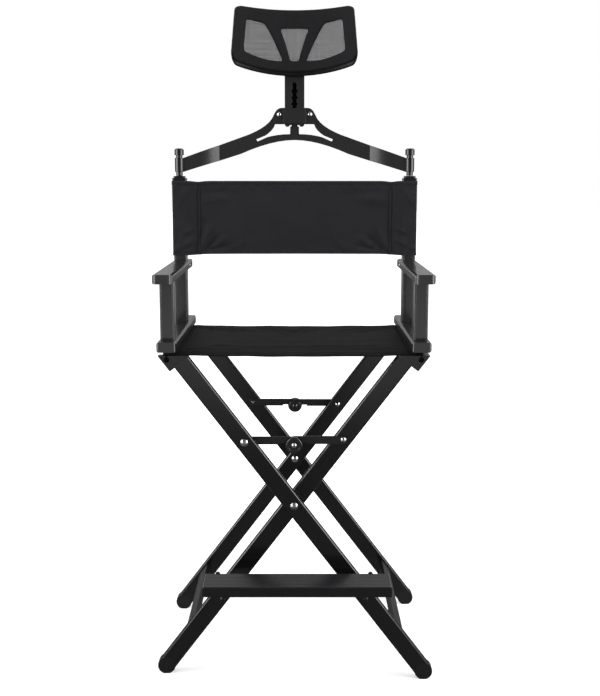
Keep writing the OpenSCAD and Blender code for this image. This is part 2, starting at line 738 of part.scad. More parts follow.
// Plan of the yoke plate: flat at the pins, then a wide curve back to a sharp bend, flat in the middle
function bend_line(lift) = let (bend_out = hinge_x - 34, bend_in = hinge_x - 89,
    y0 = back_post_y - yoke_t / 2 + lift) concat(
    [[hinge_x, y0]],
    curve([bend_out, y0], [bend_in + yoke_step * 1.4, y0], [bend_in, y0 + yoke_step], 9),
    [[0, y0 + yoke_step]]);
module yoke_plan() {
    front = bend_line(0);
    back = bend_line(yoke_t);
    polygon(concat(front, [for (i = [len(back) - 1 : -1 : 0]) back[i]]));
}
module yoke_half() intersection() {
    front_view(back_post_y - 2 * yoke_step, back_post_y + 3 * yoke_step) difference() {
        yoke_outline();
        yoke_window();
    }
    translate([0, 0, post_top]) linear_extrude(clamp_z + clamp_h) yoke_plan();
}
module yoke_plate() color(black_metal) placed() difference() {
    union() {
        yoke_half();
        right_mirror() yoke_half();
    }
    for (x = [-1, 1]) translate([x * screw_x, 0, screw_z])
        rod_y(clamp_screw_r + seat_fit, back_post_y - 2 * yoke_step, back_post_y + 3 * yoke_step);
    for (x = [-1, 1]) translate([x * hinge_x, back_post_y, post_top])
        cylinder(r = sleeve_r, h = 4 * sleeve_h);
}
module yoke_sleeves() color(black_metal) placed() for (x = [-1, 1])
    translate([x * hinge_x, back_post_y, sleeve_z]) difference() {
        cylinder(r = sleeve_r, h = sleeve_h);
        translate([0, 0, -1]) cylinder(r = pin_r + seat_fit, h = sleeve_h + 2);
    }
// A yoke pin: neck, shank in the sleeve and a round top; the left one has a spigot
module yoke_pin() {
    neck_r = pin_r;
    translate([0, 0, post_top + touch]) cylinder(r = neck_r, h = finial_z - post_top - touch);
    translate([0, 0, finial_z]) rotate_extrude() {
        square([finial_r, finial_h - 4]);
        square([finial_r - 3, finial_h]);
        intersection() {
            translate([finial_r - 3, finial_h - 4]) circle(3);
            square([finial_r, finial_h]);
        }
    }
}
module yoke_pins() color(black_plastic) placed() {
    translate([-hinge_x, back_post_y, 0]) {
        yoke_pin();
        translate([0, 0, post_top - spigot_len]) cylinder(r = spigot_r, h = spigot_len + 5);
    }
    translate([hinge_x, back_post_y, 0]) yoke_pin();
}

// Clamp plate: two wings on the yoke plate and a raised channel over the stem
module clamp_plate() color(black_metal) placed() {
    chan = stem_w / 2 + free;
    wing_y = yoke_y - clamp_t;
    chan_y = stem_y - free - clamp_t;
    margin = 1;
    difference() {
        intersection() {
            translate([0, 0, clamp_z]) linear_extrude(clamp_h - margin) union() {
                for (x = [-1, 1]) translate([x > 0 ? chan : -clamp_w / 2, wing_y])
                    square([clamp_w / 2 - chan, clamp_t]);
                for (x = [-1, 1]) translate([x > 0 ? chan : -chan - clamp_t, chan_y])
                    square([clamp_t, yoke_y - chan_y]);
                translate([-chan - clamp_t, chan_y]) square([2 * (chan + clamp_t), clamp_t]);
            }
            for (m = [0, 1]) mirror([m, 0, 0]) translate([-margin, 0, 0])
                front_view(chan_y - 1, yoke_y + 1) yoke_outline();
        }
        for (x = [-1, 1]) translate([x * screw_x, 0, screw_z])
            rod_y(clamp_screw_r + seat_fit, wing_y - 1, yoke_y + 1);
    }
}
module clamp_screws() color(silver) placed() for (x = [-1, 1]) translate([x * screw_x, 0, screw_z]) {
    dome_front(4 * clamp_screw_r, 3.4, yoke_y - clamp_t);
    rod_y(clamp_screw_r, yoke_y - clamp_t, yoke_y + yoke_t);
    translate([0, yoke_y + yoke_t, 0]) rotate([-90, 0, 0]) dome(3.4 * clamp_screw_r, 3);
}

// Headrest stem: a forked bar with a notched groove for the catch and a barrel at its top
module headrest_stem() color(black_metal) placed() {
    slot_w = 10;
    slot_z = clamp_z + clamp_h + 50;
    backing = 1.2;
    notch_r = 3.4;
    notch_pitch = 14;
    fork_w = 14;
    prong_r = 6;
    difference() {
        union() {
            front_view(stem_y, stem_y + stem_t) difference() {
                union() {
                    translate([-stem_w / 2, stem_z + prong_r]) square([stem_w, tilt_z - stem_z - prong_r]);
                    for (x = [-1, 1])
                        translate([x * (stem_w / 2 - prong_r), stem_z + prong_r]) circle(prong_r);
                }
                translate([-fork_w / 2, stem_z - 1]) square([fork_w, clamp_z - stem_z + 1]);
            }
            translate([-stem_w / 2, tilt_y, tilt_z]) rotate([0, 90, 0]) cylinder(r = barrel_r, h = stem_w);
        }
        front_view(stem_y - 1, stem_y + stem_t - backing) {
            translate([-slot_w / 2, clamp_z]) square([slot_w, slot_z - clamp_z]);
            translate([0, slot_z]) circle(slot_w / 2);
            for (i = [0 : 2], x = [-1, 1])
                translate([x * (slot_w / 2 - 1), clamp_z + clamp_h + 8 + i * notch_pitch]) circle(notch_r);
        }
        translate([-stem_w, tilt_y, tilt_z]) rotate([0, 90, 0])
            cylinder(d = tilt_pin_d + 2 * running, h = 2 * stem_w);
    }
}
module tilt_pin() color(silver) placed() translate([-stem_w / 2 - 8, tilt_y, tilt_z]) rotate([0, 90, 0])
    cylinder(d = tilt_pin_d, h = stem_w + 16);

// Front view of the headrest: wider below than above, hollow top edge, round lower edge.
// Across, places are shares of the half width; upwards they hang from the top
module rest_outline() {
    half = rest_w / 2;
    corner_r = 10;
    low_r = 12;
    low_z = rest_top - rest_h;
    right = concat(
        curve([0, rest_top], [0.4 * half, rest_top], [0.9 * half - corner_r, rest_top + rest_horn]),
        curve([0.9 * half - corner_r, rest_top + rest_horn], [0.94 * half, rest_top + rest_horn + 1],
              [0.945 * half, rest_top + rest_horn - corner_r], 4),
        curve([half, low_z + 50], [half, low_z + 26], [half - low_r, low_z + 20]),
        curve([half - low_r, low_z + 20], [0.5 * half, low_z + 1], [0, low_z]));
    polygon(concat(right, [for (i = [len(right) - 2 : -1 : 1]) [-right[i][0], right[i][1]]]));
}
module rest_windows() {
    half = rest_w / 2;
    t = rest_top;
    round_r = 4;
    for (m = [0, 1]) mirror([m, 0]) offset(r = round_r) offset(delta = -round_r) polygon(concat(
        [[0.755 * half, t - 21]],
        curve([0.48 * half, t - 29], [0.35 * half, t - 55], [0.19 * half, t - 109]),
        curve([0.4 * half, t - 107], [0.6 * half, t - 101], [0.8 * half, t - 88], 4)));
    offset(r = round_r) offset(delta = -round_r) polygon(concat(
        [[0.215 * half, t - 40]],
        curve([0.215 * half, t - 44], [0.12 * half, t - 75], [0.065 * half, t - 109], 4),
        curve([-0.065 * half, t - 109], [-0.12 * half, t - 75], [-0.215 * half, t - 44], 4),
        [[-0.215 * half, t - 40]]));
}
// A curved wall, hollow towards the front: inner radius r, thickness t
module rest_shell(r, t) translate([0, rest_cy, rest_top - 1.2 * rest_h]) difference() {
    cylinder(r = r + t, h = 1.4 * rest_h, $fn = 180);
    translate([0, 0, -1]) cylinder(r = r, h = 1.4 * rest_h + 2, $fn = 180);
}
// Depth that holds the whole of the curved wall
module rest_view() front_view(rest_cy + rest_radius / 2, rest_cy + rest_radius + 4 * rest_t) children();
module headrest_frame() color(black_plastic) placed() difference() {
    union() {
        intersection() {
            rest_shell(rest_radius, rest_t);
            rest_view() difference() {
                rest_outline();
                rest_windows();
            }
        }
        for (x = [-1, 1]) side_view(x * ear_x - ear_t / 2, x * ear_x + ear_t / 2) union() {
            translate([tilt_y, tilt_z]) circle(barrel_r);
            translate([ear_root, tilt_z - barrel_r]) square([tilt_y - ear_root, 2 * barrel_r]);
        }
    }
    translate([-stem_w, tilt_y, tilt_z]) rotate([0, 90, 0])
        cylinder(d = tilt_pin_d + 2 * seat_fit, h = 2 * stem_w);
}
module headrest_mesh() color(mesh_grey) placed() intersection() {
    rest_shell(rest_radius + (rest_t - mesh_t) / 2, mesh_t);
    rest_view() rest_windows();
}

left_seat_rail();
left_rail_caps();
left_rail_lugs();
left_front_post();
left_back_post();
left_armrest();
left_arm_screw();
left_post_cap();
left_hinge_rod();
right_seat_rail();
right_rail_caps();
right_rail_lugs();
right_front_post();
right_back_post();
right_armrest();
right_arm_screw();
right_post_cap();
right_hinge_rod();
seat_cloth();
back_cloth();
outer_front_leg();
outer_rear_leg();
outer_stretcher();
outer_top_caps();
outer_foot_caps();
pivot_bolts();
pivot_spacers();
outer_brace_bolts();
inner_front_leg();
inner_rear_leg();
inner_stretcher();
inner_top_caps();
inner_foot_caps();
inner_brace_bolts();
front_left_brace();
front_right_brace();
rear_left_brace();
rear_right_brace();
front_knob();
rear_knob();
brace_bosses_front();
brace_bosses_rear();
front_knob_bolt();
rear_knob_bolt();
footrest_board();
footrest_end_caps();
footrest_pivot_bracket();
footrest_hook_bracket();
footrest_pivot_bolt();
footrest_stud();
yoke_plate();
yoke_sleeves();
yoke_pins();
clamp_plate();
clamp_screws();
headrest_stem();
tilt_pin();
headrest_frame();
headrest_mesh();
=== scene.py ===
import json
import math
import random

import bmesh
import bpy
from mathutils import Matrix, Vector, noise


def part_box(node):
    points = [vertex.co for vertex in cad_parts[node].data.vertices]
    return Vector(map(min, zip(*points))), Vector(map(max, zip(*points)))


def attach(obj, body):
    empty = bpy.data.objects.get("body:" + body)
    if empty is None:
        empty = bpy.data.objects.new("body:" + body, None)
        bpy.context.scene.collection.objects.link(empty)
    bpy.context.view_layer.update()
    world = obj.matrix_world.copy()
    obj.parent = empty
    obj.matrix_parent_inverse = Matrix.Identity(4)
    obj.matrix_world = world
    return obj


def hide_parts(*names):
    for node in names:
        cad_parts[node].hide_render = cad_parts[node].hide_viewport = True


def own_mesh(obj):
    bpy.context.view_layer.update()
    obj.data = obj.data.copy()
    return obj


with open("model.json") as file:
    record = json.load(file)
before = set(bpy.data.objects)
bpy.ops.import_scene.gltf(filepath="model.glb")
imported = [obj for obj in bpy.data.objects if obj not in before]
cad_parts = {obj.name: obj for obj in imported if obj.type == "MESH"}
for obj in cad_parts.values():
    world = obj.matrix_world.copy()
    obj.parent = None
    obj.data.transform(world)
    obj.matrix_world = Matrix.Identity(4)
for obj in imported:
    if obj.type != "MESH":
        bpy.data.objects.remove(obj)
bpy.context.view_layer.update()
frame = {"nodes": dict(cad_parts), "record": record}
mm = 0.001
random.seed(7)


def linearColour(hexText):
    channels = [int(hexText[i:i + 2], 16) / 255 for i in (1, 3, 5)]
    return (*[c / 12.92 if c <= 0.04045 else ((c + 0.055) / 1.055) ** 2.4 for c in channels], 1.0)


def addNode(tree, kind, values=None, **settings):  # a socket's value can be another node's output
    node = tree.nodes.new(kind)
    for name, value in settings.items():
        setattr(node, name, value)
    for name, value in (values or {}).items():
        if isinstance(value, bpy.types.NodeSocket):
            tree.links.new(value, node.inputs[name])
        else:
            node.inputs[name].default_value = value
    return node


def combine(tree, operation, first, second=0.0):
    return addNode(tree, "ShaderNodeMath", {0: first, 1: second}, operation=operation).outputs["Value"]


def mapRange(tree, value, low, high, fromMin=0.3, fromMax=0.7):
    return addNode(tree, "ShaderNodeMapRange", {"Value": value, "From Min": fromMin, "From Max": fromMax,
                                                "To Min": low, "To Max": high}).outputs["Result"]


def mixColours(tree, factor, low, high):  # low and high are hex colours or sockets
    low, high = [linearColour(c) if isinstance(c, str) else c for c in (low, high)]
    return addNode(tree, "ShaderNodeMix", {0: factor, 6: low, 7: high}, data_type="RGBA").outputs[2]


def emptyTree(owner):  # the shader tree of a material or world, without its first nodes
    owner.use_nodes = True
    owner.node_tree.nodes.clear()
    return owner.node_tree


def startMaterial(name, **shaderValues):
    material = bpy.data.materials.new(name)
    tree = emptyTree(material)
    values = {key.replace("_", " "): value for key, value in shaderValues.items()}
    shader = addNode(tree, "ShaderNodeBsdfPrincipled", values)
    addNode(tree, "ShaderNodeOutputMaterial", {"Surface": shader.outputs["BSDF"]})
    return material, tree, shader


def turnedCoords(tree, turn=(0, 0, 0)):
    coords = addNode(tree, "ShaderNodeTexCoord").outputs["Object"]
    return addNode(tree, "ShaderNodeMapping", {"Vector": coords, "Rotation": turn}).outputs["Vector"]


def stretchedNoise(tree, spacing, turn=(0, 0, 0), detail=3.0):  # spacing is the grain along each axis, in mm
    scale = tuple(1 / (s * mm) for s in spacing)
    scaled = addNode(tree, "ShaderNodeMapping", {"Vector": turnedCoords(tree, turn), "Scale": scale})
    values = {"Vector": scaled.outputs["Vector"], "Scale": 1.0, "Detail": detail}
    return addNode(tree, "ShaderNodeTexNoise", values).outputs["Fac"]


def evenNoise(tree, spacing, detail=3.0):
    return stretchedNoise(tree, (spacing,) * 3, detail=detail)


def paint(tree, shader, factor, low, high):
    tree.links.new(mixColours(tree, factor, low, high), shader.inputs["Base Color"])


def varyRoughness(tree, shader, pattern, low, high):
    tree.links.new(mapRange(tree, pattern, low, high), shader.inputs["Roughness"])


def addBump(tree, shader, height, distance, strength):
    values = {"Height": height, "Distance": distance * mm, "Strength": strength}
    bump = addNode(tree, "ShaderNodeBump", values)
    tree.links.new(bump.outputs["Normal"], shader.inputs["Normal"])


# Black anodised extrusion: a satin sheen with faint die lines that run along the tube
def blackAnodised(name, turn=(0, 0, 0), dark="#0a0a0b", light="#0f0f10", roughness=0.17, specular=0.82):
    material, tree, shader = startMaterial(name, Roughness=roughness, Specular_IOR_Level=specular)
    lines = stretchedNoise(tree, (2.4, 2.4, 400), turn)  # real lines are finer; drawn to show
    paint(tree, shader, stretchedNoise(tree, (40, 40, 120), turn, 2.0), dark, light)
    varyRoughness(tree, shader, lines, roughness - 0.02, roughness + 0.04)
    addBump(tree, shader, lines, 0.01, 0.25)
    return material


# Moulded nylon: even fine satin grain, slightly deeper black than the metal
def mouldedNylon(name, dark="#101011", light="#161617", roughness=0.24, specular=0.8):
    material, tree, shader = startMaterial(name, Roughness=roughness, Specular_IOR_Level=specular)
    grain = evenNoise(tree, 0.7)
    paint(tree, shader, evenNoise(tree, 30, 2.0), dark, light)
    varyRoughness(tree, shader, grain, roughness - 0.03, roughness + 0.05)
    addBump(tree, shader, grain, 0.02, 0.3)
    return material


# Powder coat: a very faint orange peel over steel
def powderCoat(name, dark="#18181a", light="#1e1e21", roughness=0.28):
    material, tree, shader = startMaterial(name, Roughness=roughness, Specular_IOR_Level=0.5)
    peel = evenNoise(tree, 3, 1.0)
    paint(tree, shader, evenNoise(tree, 40, 2.0), dark, light)
    varyRoughness(tree, shader, peel, roughness - 0.006, roughness + 0.01)
    addBump(tree, shader, peel, 0.005, 0.12)
    return material


# Zinc-plated steel: bright, with faint turning marks
def zincSteel(name):
    material, tree, shader = startMaterial(name, Metallic=1.0, Roughness=0.2)
    marks = stretchedNoise(tree, (0.5, 3, 0.5))
    paint(tree, shader, marks, "#b4b6b9", "#dcdde0")
    varyRoughness(tree, shader, marks, 0.14, 0.26)
    return material


# Heavy plain-woven canvas: matt threads over and under each other, a little uneven in colour, with a painted
# highlight on the raised crossings of the weave
def wovenCanvas(name, dark, light, thread, turn=(0, 0, 0), sheen=0.05, specular=0.18):
    pitch = 1.3 * mm  # real threads are near 0.6 mm apart; drawn coarser to show
    material, tree, shader = startMaterial(name, Roughness=0.85, Specular_IOR_Level=specular,
                                           Sheen_Weight=sheen, Sheen_Roughness=0.5,
                                           Sheen_Tint=linearColour("#8c8c92"))
    bands = {"Vector": turnedCoords(tree, turn), "Scale": 0.31416 / pitch,  # one band for each pitch
             "Distortion": 0.6, "Detail": 1.0, "Detail Scale": 2.0}
    threads = [addNode(tree, "ShaderNodeTexWave", bands, wave_type="BANDS", bands_direction=axis)
               for axis in ("X", "Y")]
    weave = combine(tree, "MULTIPLY", *[wave.outputs["Fac"] for wave in threads])
    base = mixColours(tree, evenNoise(tree, 45, 4.0), dark, light)
    # painted highlight: the raised crossings of the weave take the lighter colour given as thread, the
    # hollows between stay darker
    paint(tree, shader, mapRange(tree, weave, 0.0, 0.75, 0.0, 1.0), base, thread)
    addBump(tree, shader, weave, 0.3, 0.6)
    return material


# Knitted spacer fabric: rows of small cells between raised loops, in a half-drop pattern; the cells are
# painted near black as painted shade of the knit's hollows
def spacerKnit(name):
    cell = 2.6 * mm  # real cells are near 1.5 mm apart; drawn coarser to show
    material, tree, shader = startMaterial(name, Roughness=0.78, Specular_IOR_Level=0.2, Sheen_Weight=0.05,
                                           Sheen_Roughness=0.45, Sheen_Tint=linearColour("#85858b"))
    coords = addNode(tree, "ShaderNodeTexCoord").outputs["Object"]
    flat = addNode(tree, "ShaderNodeMapping", {"Vector": coords, "Scale": (1 / cell, 0, 1 / cell)})
    values = {"Vector": flat.outputs["Vector"], "Scale": 1.0, "Randomness": 0.25}
    cells = addNode(tree, "ShaderNodeTexVoronoi", values)
    hole = mapRange(tree, cells.outputs["Distance"], 0.0, 1.0, 0.12, 0.42)
    # painted shade: near black in the middle of each cell, where the knit is hollow
    paint(tree, shader, hole, "#080809", mixColours(tree, evenNoise(tree, 30), "#121214", "#18181b"))
    addBump(tree, shader, hole, 0.5, 0.7)
    return material


# Bonded nylon thread: a slight gloss, twisted
def sewingThread(name, dark, light, specular=0.5):
    material, tree, shader = startMaterial(name, Roughness=0.5, Specular_IOR_Level=specular)
    paint(tree, shader, evenNoise(tree, 0.5, 1.0), dark, light)
    return material


legAngle = math.radians(37.13)
alongY, alongX = (math.pi / 2, 0, 0), (0, math.pi / 2, 0)
finishes = {
    "leftLeaning": blackAnodised("blackAnodisedOuterLeg", (0, legAngle, 0)),
    "rightLeaning": blackAnodised("blackAnodisedInnerLeg", (0, -legAngle, 0)),
    # Posts and seat rails take copies of the black anodised finish with a lighter base colour: painted
    # reflection of the studio light on their upper front faces
    "upright": blackAnodised("blackAnodisedPostPaintedLighter", (0, 0, 0), "#1a1a1c", "#212123", 0.15, 1.0),
    "level": blackAnodised("blackAnodisedRailPaintedLighter", alongY, "#161618", "#1c1c1e", 0.2, 0.8),
    "stretcher": blackAnodised("blackAnodisedStretcher", alongY, "#0d0d0e", "#121213", 0.3, 0.15),
    "across": blackAnodised("blackAnodisedBoard", alongX, "#19191a", "#1f1f21", 0.34, 0.16),
    "nylon": mouldedNylon("mouldedNylon"),
    # The armrests' copy of the moulded nylon has a lighter base colour: painted reflection on their upper
    # front faces
    "armrest": mouldedNylon("armrestNylonPaintedLighter", "#1c1c1e", "#232325", 0.16, 0.9),
    "glossy": mouldedNylon("polishedNylon", "#0c0c0d", "#101012", 0.14, 0.5),
    "shell": mouldedNylon("headrestShellNylon", "#0a0a0b", "#0e0e0f", 0.34, 0.2),
    # Near black: painted shade for the inside of the stem's slot
    "slotPaintedShade": mouldedNylon("slotPaintedShadeNylon", "#020202", "#040404", 0.7, 0.02),
    "coated": powderCoat("blackPowderCoat"),
    "yokeCoat": powderCoat("yokePowderCoat", "#161618", "#1b1b1d", 0.33),
    "blackened": powderCoat("blackOxideSteel", "#040405", "#080809", 0.5),
    "zinc": zincSteel("zincPlatedSteel"),
    # The seat's copy of the canvas is darker than the back's: painted shade on a sheet that faces up into the
    # light
    "seatCanvasShadedDarker": wovenCanvas("seatCanvasShadedDarker", "#101011", "#161618", "#1a1a1c", sheen=0.01, specular=0.04),
    "backCanvas": wovenCanvas("backCanvas", "#18181a", "#202023", "#28282b", turn=alongY),
    "knit": spacerKnit("spacerKnit"),
    "netThread": sewingThread("netThread", "#161618", "#242427"),
    # The stitch thread is painted near black, darker than the cloth: painted shade along the seams
    "stitchThreadShadedDark": sewingThread("stitchThreadShadedDark", "#050506", "#0a0a0b", 0.12),
}
print("materials made")

bodyOf = {node: body for body, nodes in frame["record"]["behaviour"]["bodies"].items() for node in nodes}


def newObject(name, data, material=None):
    obj = bpy.data.objects.new(name, data)
    bpy.context.scene.collection.objects.link(obj)
    if material:
        data.materials.clear()
        data.materials.append(material)
    return obj


def evaluatedMesh(obj):
    depsgraph = bpy.context.evaluated_depsgraph_get()
    return bpy.data.meshes.new_from_object(obj.evaluated_get(depsgraph), depsgraph=depsgraph)


def bakeModifiers(obj):  # the evaluated result becomes the plain mesh
    mesh, old = evaluatedMesh(obj), obj.data
    obj.modifiers.clear()
    obj.data = mesh
    if old.users == 0:
        bpy.data.meshes.remove(old)
    return obj


def shadeSmooth(mesh):
    mesh.polygons.foreach_set("use_smooth", [True] * len(mesh.polygons))


def addModifier(obj, kind, **settings):
    modifier = obj.modifiers.new(kind.lower(), kind)
    for name, value in settings.items():
        setattr(modifier, name, value)
    return modifier


def standFor(piece, node):  # rides on the node's body and takes its place
    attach(piece, bodyOf[node])
    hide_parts(node)
    return piece


# A rigid CAD piece, welded and given softened edges so that they catch the light
dressFacts = {"weld": 0.003, "flatWithin": 0.6, "sharp": 30, "rounds": 2, "flatWeight": 80}


def dressNode(node, finish, edge, shape=None):
    f = dressFacts
    work = bmesh.new()
    work.from_mesh(frame["nodes"][node].data)
    bmesh.ops.remove_doubles(work, verts=work.verts, dist=f["weld"] * mm)
    bmesh.ops.dissolve_limit(work, angle_limit=math.radians(f["flatWithin"]), verts=work.verts,
                             edges=work.edges)
    mesh = bpy.data.meshes.new(node + "Dressed")
    work.to_mesh(mesh)
    work.free()
    shadeSmooth(mesh)
    piece = newObject(node + "Dressed", mesh, finishes[finish])
    addModifier(piece, "BEVEL", width=edge * mm, segments=f["rounds"], limit_method="ANGLE",
                angle_limit=math.radians(f["sharp"]), use_clamp_overlap=True)
    addModifier(piece, "WEIGHTED_NORMAL", keep_sharp=True, weight=f["flatWeight"])
    bakeModifiers(piece)
    if shape:
        shape(piece)
    return standFor(piece, node)


def looseParts(mesh):
    owner = list(range(len(mesh.vertices)))

    def root(i):
        while owner[i] != i:
            owner[i] = owner[owner[i]]
            i = owner[i]
        return i
    for edge in mesh.edges:
        a, b = root(edge.vertices[0]), root(edge.vertices[1])
        if a != b:
            owner[a] = b
    parts = {}
    for i in range(len(owner)):
        parts.setdefault(root(i), []).append(i)
    return list(parts.values())


# Hexagon sockets cut into the round heads that face the front
socketFacts = {"acrossFlats": 5.0, "depth": 2.6, "headTop": 0.35}


def cutSockets(piece):
    f = socketFacts
    points = [v.co.copy() for v in piece.data.vertices]
    radius = f["acrossFlats"] / 2 / math.cos(math.pi / 6) * mm
    work = bmesh.new()
    for island in looseParts(piece.data):  # one socket in the front end of each separate bolt
        low = min(points[i].y for i in island)
        ring = [points[i] for i in island if points[i].y < low + f["headTop"] * mm]
        centre = sum(ring, Vector()) / len(ring)
        place = Matrix.Translation((centre.x, low, centre.z)) @ Matrix.Rotation(math.pi / 2, 4, "X")
        bmesh.ops.create_cone(work, cap_ends=True, segments=6, depth=2 * f["depth"] * mm, radius1=radius,
                              radius2=radius, matrix=place)
    cutter = bpy.data.meshes.new("socketCutter")
    work.to_mesh(cutter)
    work.free()
    tool = newObject("socketCutter", cutter)
    addModifier(piece, "BOOLEAN", operation="DIFFERENCE", solver="EXACT", object=tool)
    bakeModifiers(piece)
    bpy.data.objects.remove(tool)
    bpy.data.meshes.remove(cutter)


restTop = 1418
slotFacts = {"halfWidth": 9, "depths": (0.8, 4.2), "belowTop": 200, "footClear": 9}


def paintSlotShade(piece):  # the inside faces of the catch's slot in the stem get a near-black finish: painted shade of the hollow
    f = slotFacts
    piece.data.materials.append(finishes["slotPaintedShade"])
    front = min(v.co.y for v in piece.data.vertices if v.co.z < (restTop - f["belowTop"]) * mm)
    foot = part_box("headrest_stem")[0].z
    near, far = [front + depth * mm for depth in f["depths"]]
    for face in piece.data.polygons:
        inside = abs(face.center.x) < f["halfWidth"] * mm and near < face.center.y < far
        looksOut = face.normal.y < -0.5 or abs(face.normal.y) < 0.3
        if inside and looksOut and abs(face.center.z - foot) > f["footClear"] * mm:
            face.material_index = 1


dressing = (  # finish, width of the softened edges in mm, and pieces; left and right go before an underscore
    ("leftLeaning", 0.3, "outer_front_leg outer_rear_leg"),
    ("rightLeaning", 0.3, "inner_front_leg inner_rear_leg"),
    ("stretcher", 0.3, "outer_stretcher inner_stretcher"), ("across", 0.25, "footrest_board"),
    ("level", 0.3, "_seat_rail"), ("upright", 1.2, "_front_post _back_post"),
    ("armrest", 1.2, "_rail_caps"), ("armrest", 1.5, "_armrest"),
    ("nylon", 0.9, "outer_top_caps inner_top_caps"), ("nylon", 1.0, "outer_foot_caps inner_foot_caps"),
    ("nylon", 0.5, "front_knob rear_knob brace_bosses_front brace_bosses_rear"),
    ("nylon", 0.8, "footrest_end_caps"), ("glossy", 1.6, "_post_cap"),
    ("glossy", 0.8, "yoke_sleeves yoke_pins"), ("blackened", 0.5, "_hinge_rod"),
    ("coated", 0.5, "front_left_brace front_right_brace rear_left_brace rear_right_brace"),
    ("coated", 0.6, "_rail_lugs footrest_pivot_bracket footrest_hook_bracket"),
    ("coated", 0.2, "footrest_pivot_bolt footrest_stud"),
    ("yokeCoat", 0.5, "yoke_plate"), ("yokeCoat", 0.3, "clamp_plate headrest_stem"),
    ("zinc", 0.2, "pivot_bolts outer_brace_bolts inner_brace_bolts front_knob_bolt rear_knob_bolt"),
    ("zinc", 0.2, "_arm_screw"), ("zinc", 0.3, "pivot_spacers clamp_screws"), ("zinc", 0.6, "tilt_pin"),
)
shapers = {"front_knob_bolt": cutSockets, "rear_knob_bolt": cutSockets, "clamp_screws": cutSockets,
           "headrest_stem": paintSlotShade}
for finish, edge, names in dressing:
    for name in names.split():
        for node in ("left" + name, "right" + name) if name[0] == "_" else (name,):
            dressNode(node, finish, edge, shapers.get(node))
print("rigid pieces dressed")


def smoothStep(low, high, value):
    t = min(1.0, max(0.0, (value - low) / (high - low)))
    return t * t * (3 - 2 * t)


def bell(away, width):
    return math.exp(-(away / width) ** 2)


def wobble(a, b, grain, seed):  # smooth noise with its own grain in both directions
    return noise.noise(Vector((a / grain[0], b / grain[1], seed)))


def nearest(values, goal):
    return min(range(len(values)), key=lambda i: abs(values[i] - goal))


def easedCorner(here, before, after, steps):  # points of a short curve that replaces a corner
    shares = [k / steps for k in range(steps + 1)]
    return [here + before * (1 - t) ** 2 + after * t ** 2 for t in shares]


def roundedPath(corners, steps=5):  # corners are (x, y, radius)
    path = []
    for i, (x, y, radius) in enumerate(corners):
        here = Vector((x, y))
        if not radius or i in (0, len(corners) - 1):
            path.append(here)
            continue
        before = (Vector(corners[i - 1][:2]) - here).normalized() * radius
        after = (Vector(corners[i + 1][:2]) - here).normalized() * radius
        path += easedCorner(here, before, after, steps)
    return path


def evenPath(path, step):  # the same line with points about one step apart
    lengths = [0.0]
    for a, b in zip(path, path[1:]):
        lengths.append(lengths[-1] + (b - a).length)
    count = max(2, round(lengths[-1] / step))
    out, k = [], 0
    for i in range(count + 1):
        goal = lengths[-1] * i / count
        while k < len(path) - 2 and lengths[k + 1] < goal:
            k += 1
        span = max(lengths[k + 1] - lengths[k], 1e-9)
        out.append(path[k].lerp(path[k + 1], min(1.0, (goal - lengths[k]) / span)))
    return out


def sideways(path):  # the left-hand normal of a plan line at each point
    out = []
    for i in range(len(path)):
        along = (path[min(i + 1, len(path) - 1)] - path[max(i - 1, 0)]).normalized()
        out.append(Vector((-along.y, along.x)))
    return out


def spacedRows(low, high, step, fineAt, fineStep=0.9, reach=3.6):  # closer together beside the seams
    rows, here = [], low
    while here < high - 0.4 * fineStep:
        rows.append(here)
        near = any(abs(here - f) < reach or 0 < f - here < reach + step for f in fineAt)
        here += fineStep if near else step
    rows.append(high)
    return rows


def foldHeight(folds, a, b):  # folds are (a0, b0, a1, b1, half width, height), in mm
    total = 0.0
    for a0, b0, a1, b1, width, height in folds:
        da, db = a1 - a0, b1 - b0
        span = math.hypot(da, db)
        t = ((a - a0) * da + (b - b0) * db) / (span * span)  # 0 at one end of the fold and 1 at the other
        off = ((a - a0) * db - (b - b0) * da) / span
        if -0.6 < t < 1.6 and abs(off) < 3 * width:
            total += height * bell(off, width) * math.exp(-(abs(2 * t - 1) / 1.05) ** 4)
    return total


# A sheet from a grid of points; thick gives each point's share of the full thickness
def clothFromGrid(name, grid, thick, thickness, material):
    rows, columns = len(grid), len(grid[0])
    mesh = bpy.data.meshes.new(name)
    mesh.from_pydata([p for row in grid for p in row], [],
                     [(r * columns + c, r * columns + c + 1, (r + 1) * columns + c + 1, (r + 1) * columns + c)
                      for r in range(rows - 1) for c in range(columns - 1)])
    piece = newObject(name, mesh, material)
    group = piece.vertex_groups.new(name="thick")
    for r in range(rows):
        for c in range(columns):
            group.add([r * columns + c], thick[r][c], "REPLACE")
    addModifier(piece, "SOLIDIFY", thickness=thickness * mm, offset=0, vertex_group="thick",
                use_even_offset=False)
    bakeModifiers(piece)
    shadeSmooth(piece.data)
    return piece


def startTree(name, sizes):  # a tree that turns lines into thread; sizes are its named inputs, in mm
    tree = bpy.data.node_groups.new(name, "GeometryNodeTree")
    kinds = {"Geometry": "Geometry", **{label: "Float" for label in sizes}, "Thread": "Material"}
    for label, kind in kinds.items():
        socket = tree.interface.new_socket(name=label, in_out="INPUT", socket_type="NodeSocket" + kind)
        if label in sizes:
            socket.default_value = sizes[label] * mm
    tree.interface.new_socket(name="Geometry", in_out="OUTPUT", socket_type="NodeSocketGeometry")
    inputs = addNode(tree, "NodeGroupInput").outputs
    curve = addNode(tree, "GeometryNodeMeshToCurve", {"Mesh": inputs["Geometry"]})
    return tree, inputs, curve.outputs[0]


def endTree(tree, inputs, made):
    smooth = addNode(tree, "GeometryNodeSetShadeSmooth", {0: made})
    values = {"Geometry": smooth.outputs[0], "Material": inputs["Thread"]}
    painted = addNode(tree, "GeometryNodeSetMaterial", values)
    addNode(tree, "NodeGroupOutput", {"Geometry": painted.outputs[0]})
    return tree


